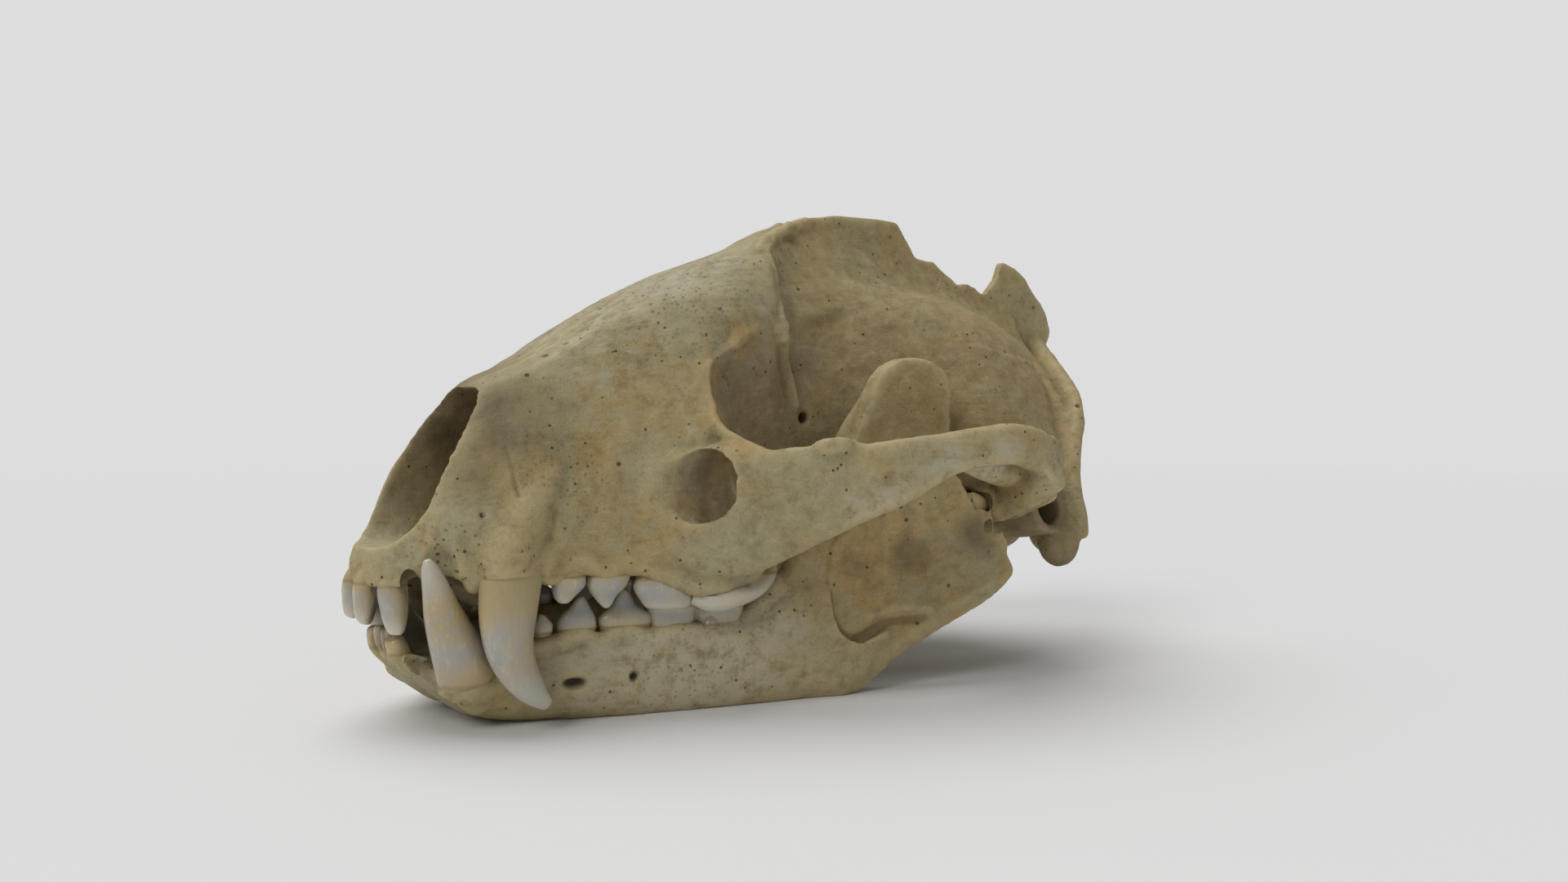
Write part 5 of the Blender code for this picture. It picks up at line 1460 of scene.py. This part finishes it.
def mark_occlusion_shade(item, places, closed, ways):
    """Keeps how closed in every point is, from the marked points near it that face the same way; the
    finishes paint shade by it.
    """
    points = points_of(item)
    normals = [Vector(normal) for normal in outward(item)]
    values = np.empty(len(points))
    for i in range(0, len(points), SHELTER_STEP):
        near = [index for _, index, _ in places.find_n(points[i], SHELTER_NEIGHBOURS)]
        agreeing = [closed[index] for index in near if ways[index].dot(normals[i]) > LEAST_AGREEMENT]
        values[i : i + SHELTER_STEP] = statistics.median(agreeing or [SHELTER_USUAL])
    store(item, "occlusion_shade", evened(values[:, None], edge_ends(item), SHELTER_ROUNDS)[:, 0])


class Number:
    """A number that changes over a surface. Arithmetic on it adds the shader's own sums."""

    def __init__(self, finish, socket):
        self.finish = finish
        self.socket = socket

    def sum_of(self, operation, first, second, clamp=False):
        settings = {"operation": operation, "use_clamp": clamp}
        node = self.finish.add("ShaderNodeMath", settings, {0: first, 1: second})
        return Number(self.finish, node.outputs[0])

    def __add__(self, other):
        return self.sum_of("ADD", self, other)

    def __radd__(self, other):
        return self.sum_of("ADD", other, self)

    def __sub__(self, other):
        return self.sum_of("SUBTRACT", self, other)

    def __rsub__(self, other):
        return self.sum_of("SUBTRACT", other, self)

    def __mul__(self, other):
        return self.sum_of("MULTIPLY", self, other)

    def __rmul__(self, other):
        return self.sum_of("MULTIPLY", other, self)

    def clamped(self):
        return self.sum_of("MULTIPLY", self, 1.0, clamp=True)


class Finish:
    """A finish being made. Every node is added by add: its settings first, then its inputs."""

    def __init__(self, name, base=(0, 0, 0)):
        self.material = bpy.data.materials.new(name)
        self.material.use_nodes = True
        self.tree = self.material.node_tree
        self.shader = self.tree.nodes["Principled BSDF"]
        self.place = self.add("ShaderNodeTexCoord").outputs["Object"]
        self.colour = tone(*base)

    def set(self, node, inputs):
        """Gives a node its numbers and links."""
        for key, value in inputs.items():
            if isinstance(value, Number):
                value = value.socket
            if isinstance(value, bpy.types.NodeSocket):
                self.tree.links.new(value, node.inputs[key])
            else:
                node.inputs[key].default_value = value

    def add(self, kind, settings=None, inputs=None):
        node = self.tree.nodes.new(kind)
        for key, value in (settings or {}).items():
            setattr(node, key, value)
        self.set(node, inputs or {})
        return node

    def stored(self, name):
        """A number kept at the points of the piece."""
        node = self.add("ShaderNodeAttribute", {"attribute_name": name})
        return Number(self, node.outputs["Fac"])

    def noise(self, size, detail=2.0, stretch=(1.0, 1.0, 1.0), roughness=0.5, wrap=0.0):
        """Cloudy noise from 0 to 1 with patches of about that many millimetres, longer along some axes."""
        place = self.place
        if stretch != (1.0, 1.0, 1.0):
            scale = tuple(1.0 / part for part in stretch)
            place = self.add("ShaderNodeMapping", None, {"Vector": place, "Scale": scale}).outputs[0]
        inputs = {"Vector": place, "Scale": 1.0 / (size * METRES), "Detail": detail,
                  "Roughness": roughness, "Distortion": wrap}
        return Number(self, self.add("ShaderNodeTexNoise", None, inputs).outputs[0])

    def rise(self, value, begins, full):
        """From 0 where the value is at the first mark to 1 at the second, lower or higher, with soft ends."""
        inputs = {"Value": value, "From Min": begins, "From Max": full}
        node = self.add("ShaderNodeMapRange", {"interpolation_type": "SMOOTHSTEP"}, inputs)
        return Number(self, node.outputs[0])

    def mix(self, share, first, second):
        """A colour between two others."""
        settings = {"data_type": "RGBA", "clamp_factor": True}
        node = self.add("ShaderNodeMix", settings, {0: share, MIX_FIRST: first, MIX_SECOND: second})
        return node.outputs[MIX_RESULT]

    def cover(self, share, shade):
        """Lays a tone over the colour so far."""
        self.colour = self.mix(share, self.colour, tone(*shade))

    def coats(self, table, patterns):
        """Lays many tones over each other, each where its stain is kept or its pattern says."""
        for kind, pattern, begins, full, thickness, shade in table:
            if pattern is None:
                share = self.rise(self.stored(kind), begins, full)
            elif kind is None:
                share = self.rise(patterns[pattern], begins, full)
            else:
                share = self.stored(kind) * self.rise(patterns[pattern], begins, full)
            self.cover(share * thickness, shade)

    def pores(self, spacing, radius):
        """Small round holes, 1 inside and 0 outside, one in each cell of that many millimetres."""
        inputs = {"Vector": self.place, "Scale": 1.0 / (spacing * METRES), "Randomness": 1.0}
        node = self.add("ShaderNodeTexVoronoi", {"feature": "F1"}, inputs)
        edge = radius / spacing
        return 1.0 - self.rise(Number(self, node.outputs["Distance"]), 0.5 * edge, 1.5 * edge)

    def relief(self, height, depth):
        """Fine bumps of so many millimetres."""
        inputs = {"Height": height, "Distance": depth * METRES, "Strength": 1.0}
        self.set(self.shader, {"Normal": self.add("ShaderNodeBump", None, inputs).outputs[0]})


def tone(red, green, blue):
    """A paint tone given as screen values from 0 to 255, turned to the amount of light it sends back."""
    parts = []
    for value in (red, green, blue):
        share = value / 255
        parts.append(share / 12.92 if share <= 0.04045 else ((share + 0.055) / 1.055) ** 2.4)
    return (*parts, 1.0)


def bone_finish(name, shift):
    """Old bone: ochre with grey-green, brown and rosy stains, pale edges and grain, and painted shade
    in its hollows, where it is closed in, in dark spots, pores and pits.
    """
    look = Finish(name, OCHRE)
    clouds = look.noise(14.0 + shift, 3.0, wrap=0.4)
    stains = look.noise(7.0 + shift, 4.0, wrap=0.8)
    mottle = look.noise(2.4, 5.0, roughness=0.68)
    blotches = look.noise(4.4 + shift, 2.0, wrap=1.2)
    grain = look.noise(0.8, 4.0, (1.0, 9.0, 1.0), 0.6)
    speckle = look.noise(0.32, 3.0, roughness=0.7)
    strands = look.noise(1.5, 4.0, (1.0, 7.0, 1.0), 0.65)
    look.coats(BONE_COATS, {
        "clouds": clouds, "stains": stains, "mottle": mottle, "blotches": blotches, "grain": grain,
        "speckle": speckle, "strands": strands, "tufts": 0.5 * mottle + 0.5 * stains,
    })
    # Painted shade in the dark spots.
    look.cover(look.stored("dark"), PAINTED_SHADE)
    fine = look.pores(*FINE_PORES) * look.rise(look.noise(6.0), 0.46, 0.6)
    wide = look.pores(*WIDE_PORES) * look.rise(blotches, 0.45, 0.6)
    crowded = look.pores(*CROWDED_PORES) * look.stored("porous")
    holes = (fine + wide + crowded).clamped()
    holes = (holes + look.stored("hole")).clamped()
    # Painted shade in the pores and in the carved pits.
    look.cover(holes * PORE_SHADE_STRENGTH, PORE_SHADE)
    look.set(look.shader, {"Base Color": look.colour, "Roughness": 0.5 + 0.25 * mottle,
                           "Specular IOR Level": 0.3})
    look.relief(0.5 * mottle + 0.35 * grain + 0.25 * speckle - 0.9 * holes, BONE_RELIEF)
    return look.material


def enamel_finish():
    """Enamel: white and bluish clouds, yellow stains, faint cracks down its length, bone-like cement,
    and painted shade where it is closed in.
    """
    look = Finish("enamel", ENAMEL)
    clouds = look.noise(4.0, 3.0, wrap=0.6)
    cloudlets = look.noise(1.2, 4.0, roughness=0.6)
    cracks = look.noise(0.5, 4.0, (1.0, 1.0, 8.0), 0.6)
    root = look.stored("root")
    look.coats(ENAMEL_COATS, {
        "clouds": clouds, "cloudlets": cloudlets, "cracks": cracks,
        "gum_line": look.stored("crown") + 0.3 * cloudlets,
    })
    cement = look.mix(look.rise(cloudlets, 0.4, 0.7) * 0.4, tone(*CEMENT), tone(*GREY_GREEN))
    look.colour = look.mix(look.rise(root + 0.6 * cloudlets, 0.35, 1.1), look.colour, cement)
    ring = look.rise(root, 0.0, 0.4) * look.rise(root, 0.9, 0.5)
    look.cover(ring * look.stored("stained") * 0.7, PLAQUE)
    # Painted shade where the tooth is closed in by its neighbours.
    look.cover(look.rise(look.stored("occlusion_shade"), 0.55, 1.0) * 0.6, PAINTED_SHADE)
    look.set(look.shader, {"Base Color": look.colour, "Roughness": 0.3 + 0.2 * cracks + 0.2 * root,
                           "Coat Weight": 0.6 * (1.0 - root), "Coat Roughness": 0.1})
    look.relief(0.6 * cracks + 0.5 * cloudlets, ENAMEL_RELIEF)
    return look.material


def fine_tooth(name, solids, gum, tip, collar):
    """Overlapping solids as a tooth, marked with its crown, its root and how stained its gum line is."""
    softness, stained = collar
    tooth = joined(name, solids)
    fused(tooth, TOOTH_GRID, TOOTH_SOFTENING)
    heights = points_of(tooth)[:, 2]
    above = (heights - gum) * math.copysign(1.0, tip - gum)
    store(tooth, "crown", np.clip(above / abs(tip - gum), 0.0, 1.0))
    store(tooth, "root", np.clip(0.5 - above / softness, 0.0, 1.0))
    store(tooth, "stained", np.full(len(heights), stained))
    mark_bends(tooth)
    return tooth


def fine_fang(rows, gum, softness, stained):
    """A canine, whose enamel begins at a height of its own."""
    return fine_tooth("fang", [canine(rows)], gum, rows[-1][2], (softness, stained))


def fine_premolar(x, thick, levels):
    """A cheek tooth of one row, smooth between its levels."""
    tip = levels[-1][0]
    return fine_tooth("premolar", [premolar(x, thick, levels)], levels[0][0], tip, PREMOLAR_COLLAR)


def fine_peg(row, end=None):
    """An incisor, whole or worn down to a height."""
    return fine_tooth("peg", [incisor(*row, end)], row[1][2], row[2][2], INCISOR_COLLAR)


def teeth_of(side):
    """All the teeth of one side as pieces by name."""
    left = side == "left"
    upper_pegs = UPPER_INCISORS[:2] if left else UPPER_INCISORS
    worn = STUMP_HEIGHT if left else None
    lower_pegs = [fine_peg(LOWER_INCISORS[0]), fine_peg(LOWER_INCISORS[1], worn)]
    lower_cheek_teeth = list(LOWER_PREMOLARS)
    if not left:
        lower_pegs.append(fine_peg(LOWER_INCISORS[2]))
        lower_cheek_teeth[0] = RIGHT_FIRST_PREMOLAR
    found = {
        "upper_incisors": [fine_peg(row) for row in upper_pegs],
        "upper_canine": [fine_fang(UPPER_CANINE, *UPPER_CANINE_COLLAR)],
        "upper_premolars": [fine_premolar(*row) for row in UPPER_PREMOLARS],
        "upper_molar": [fine_tooth("molar", upper_molar(), *UPPER_MOLAR_CROWN, MOLAR_COLLAR)],
        "lower_incisors": lower_pegs,
        "lower_canine": [fine_fang(LOWER_CANINE, *LOWER_CANINE_COLLAR)],
        "lower_premolars": [fine_premolar(*row) for row in lower_cheek_teeth],
        "lower_molars": [fine_tooth("molar", lower_molars(), *LOWER_MOLAR_CROWN, MOLAR_COLLAR)],
    }
    pieces = []
    for kind, teeth in found.items():
        piece = joined_with_marks(kind + "_" + side, teeth)
        mark_patches(piece, TOOTH_PATCHES)
        pieces.append(piece if left else mirrored_piece(piece))
    return pieces


def joined_with_marks(name, items):
    """The pieces in one mesh with the numbers kept at their points."""
    bm = bmesh.new()
    for item in items:
        bm.from_mesh(item.data)
    mesh = bpy.data.meshes.new(name)
    bm.to_mesh(mesh)
    bm.free()
    for item in items:
        bpy.data.objects.remove(item, do_unlink=True)
    piece = bpy.data.objects.new(name, mesh)
    bpy.context.scene.collection.objects.link(piece)
    return piece


def mirrored_piece(item):
    """Moves a piece to the animal's right."""
    item.data.transform(Matrix.Scale(-1.0, 4, (1.0, 0.0, 0.0)))
    item.data.flip_normals()
    return item


def into_place(item, finish):
    """Turns a piece to metres on the floor, smooth, with its finish, and lets it ride with the skull."""
    shift = Matrix.Translation((0.0, -SKULL_MIDDLE, -JAW_BORDER_Z))
    item.data.transform(Matrix.Diagonal((METRES, METRES, METRES, 1.0)) @ shift)
    set_points(item, np.clip(points_of(item), SOLID_BOX[0], SOLID_BOX[1]))
    item.data.materials.clear()
    item.data.materials.append(finish)
    item.data.shade_smooth()
    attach(item, "root")


def fine_jaw(side):
    """One half of the lower jaw, cut flat where it meets the other half."""
    half = jaw_half()
    combine(half, [plan_block(LEFT_HALF, *LEFT_HALF_HEIGHTS, 0.0)], "INTERSECT")
    if side == "left":
        cut_socket(half, LOST_SOCKETS["lower"])
    carve(half, JAW_LINES, JAW_PITS, JAW_ROUGH)
    half.name = "jaw_" + side
    return half if side == "left" else mirrored_piece(half)


def build_stage():
    """A round pale floor that fades out at its rim."""
    bm = bmesh.new()
    bmesh.ops.create_circle(bm, cap_ends=True, segments=FLOOR_SIDES, radius=FLOOR_RADIUS)
    floor = add_object("floor", bm)
    look = Finish("floor", FLOOR_TONE)
    across = look.add("ShaderNodeVectorMath", {"operation": "LENGTH"}, {0: look.place})
    begins, gone = (share * FLOOR_RADIUS for share in FLOOR_FADE)
    far = look.rise(Number(look, across.outputs["Value"]), begins, gone)
    look.cover(look.noise(30.0), FLOOR_TONE_2)
    look.set(look.shader, {"Base Color": look.colour, "Roughness": 0.9, "Alpha": 1.0 - far})
    floor.data.materials.append(look.material)


def build_light():
    """Soft light from all round, a plain grey behind the floor, and two lamps."""
    world = bpy.data.worlds.new("studio")
    bpy.context.scene.world = world
    world.use_nodes = True
    tree = world.node_tree
    light = tree.nodes["Background"]
    light.inputs["Color"].default_value = SKY_COLOUR
    light.inputs["Strength"].default_value = SKY_STRENGTH
    backdrop = tree.nodes.new("ShaderNodeBackground")
    backdrop.inputs["Color"].default_value = tone(*BACKDROP_TONE)
    seen = tree.nodes.new("ShaderNodeLightPath")
    choose = tree.nodes.new("ShaderNodeMixShader")
    tree.links.new(seen.outputs["Is Camera Ray"], choose.inputs[0])
    tree.links.new(light.outputs[0], choose.inputs[1])
    tree.links.new(backdrop.outputs[0], choose.inputs[2])
    tree.links.new(choose.outputs[0], tree.nodes["World Output"].inputs["Surface"])
    add_lamp("high_light", *HIGH_LIGHT)
    add_lamp("front_light", *FRONT_LIGHT)


def add_lamp(name, strength, spread, tilt, turn):
    """A far lamp that leans from upright towards the camera's side, turned round the skull."""
    lamp = bpy.data.lights.new(name, "SUN")
    lamp.energy = strength
    lamp.angle = spread
    holder = bpy.data.objects.new(name, lamp)
    way = CAMERA_AZIMUTH + turn
    to_light = Vector((math.sin(way) * math.sin(tilt), -math.cos(way) * math.sin(tilt), math.cos(tilt)))
    holder.rotation_euler = to_light.to_track_quat("Z", "Y").to_euler()
    bpy.context.scene.collection.objects.link(holder)


def build_camera():
    """The camera where the photo was taken from."""
    camera = bpy.data.cameras.new("camera")
    camera.lens = CAMERA_LENS
    camera.sensor_width = CAMERA_SENSOR
    camera.clip_start, camera.clip_end = CAMERA_REACH
    holder = bpy.data.objects.new("camera", camera)
    level = math.cos(CAMERA_ELEVATION)
    back = Vector((math.sin(CAMERA_AZIMUTH) * level, -math.cos(CAMERA_AZIMUTH) * level,
                   math.sin(CAMERA_ELEVATION)))
    holder.location = CAMERA_PLACE
    holder.rotation_euler = back.to_track_quat("Z", "Y").to_euler()
    bpy.context.scene.collection.objects.link(holder)
    bpy.context.scene.camera = holder


def main():
    build_camera()
    build_light()
    build_stage()
    bpy.context.scene.view_settings.view_transform = "Standard"
    marks = sheltered_places(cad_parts)
    skull_bone = bone_finish("skull_bone", 0.0)
    jaw_bone = bone_finish("jaw_bone", 2.0)
    enamel = enamel_finish()
    cranium = build_cranium()
    cut_socket(cranium, LOST_SOCKETS["upper"])
    worn_smooth(cranium, *NOSE_WEAR)
    worn_smooth(cranium, *POCKET_WEAR)
    carve(cranium, SKULL_LINES, SKULL_PITS, SKULL_ROUGH)
    mark_bends(cranium)
    mark_patches(cranium, SKULL_PATCHES)
    into_place(cranium, skull_bone)
    mark_occlusion_shade(cranium, *marks)
    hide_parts(*(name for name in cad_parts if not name.startswith("mandible")))
    for side in ("left", "right"):
        jaw = fine_jaw(side)
        mark_bends(jaw)
        mark_patches(jaw, JAW_PATCHES)
        into_place(jaw, jaw_bone)
        mark_occlusion_shade(jaw, *marks)
        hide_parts("mandible_" + side)
        for piece in teeth_of(side):
            into_place(piece, enamel)
            mark_occlusion_shade(piece, *marks)


main()
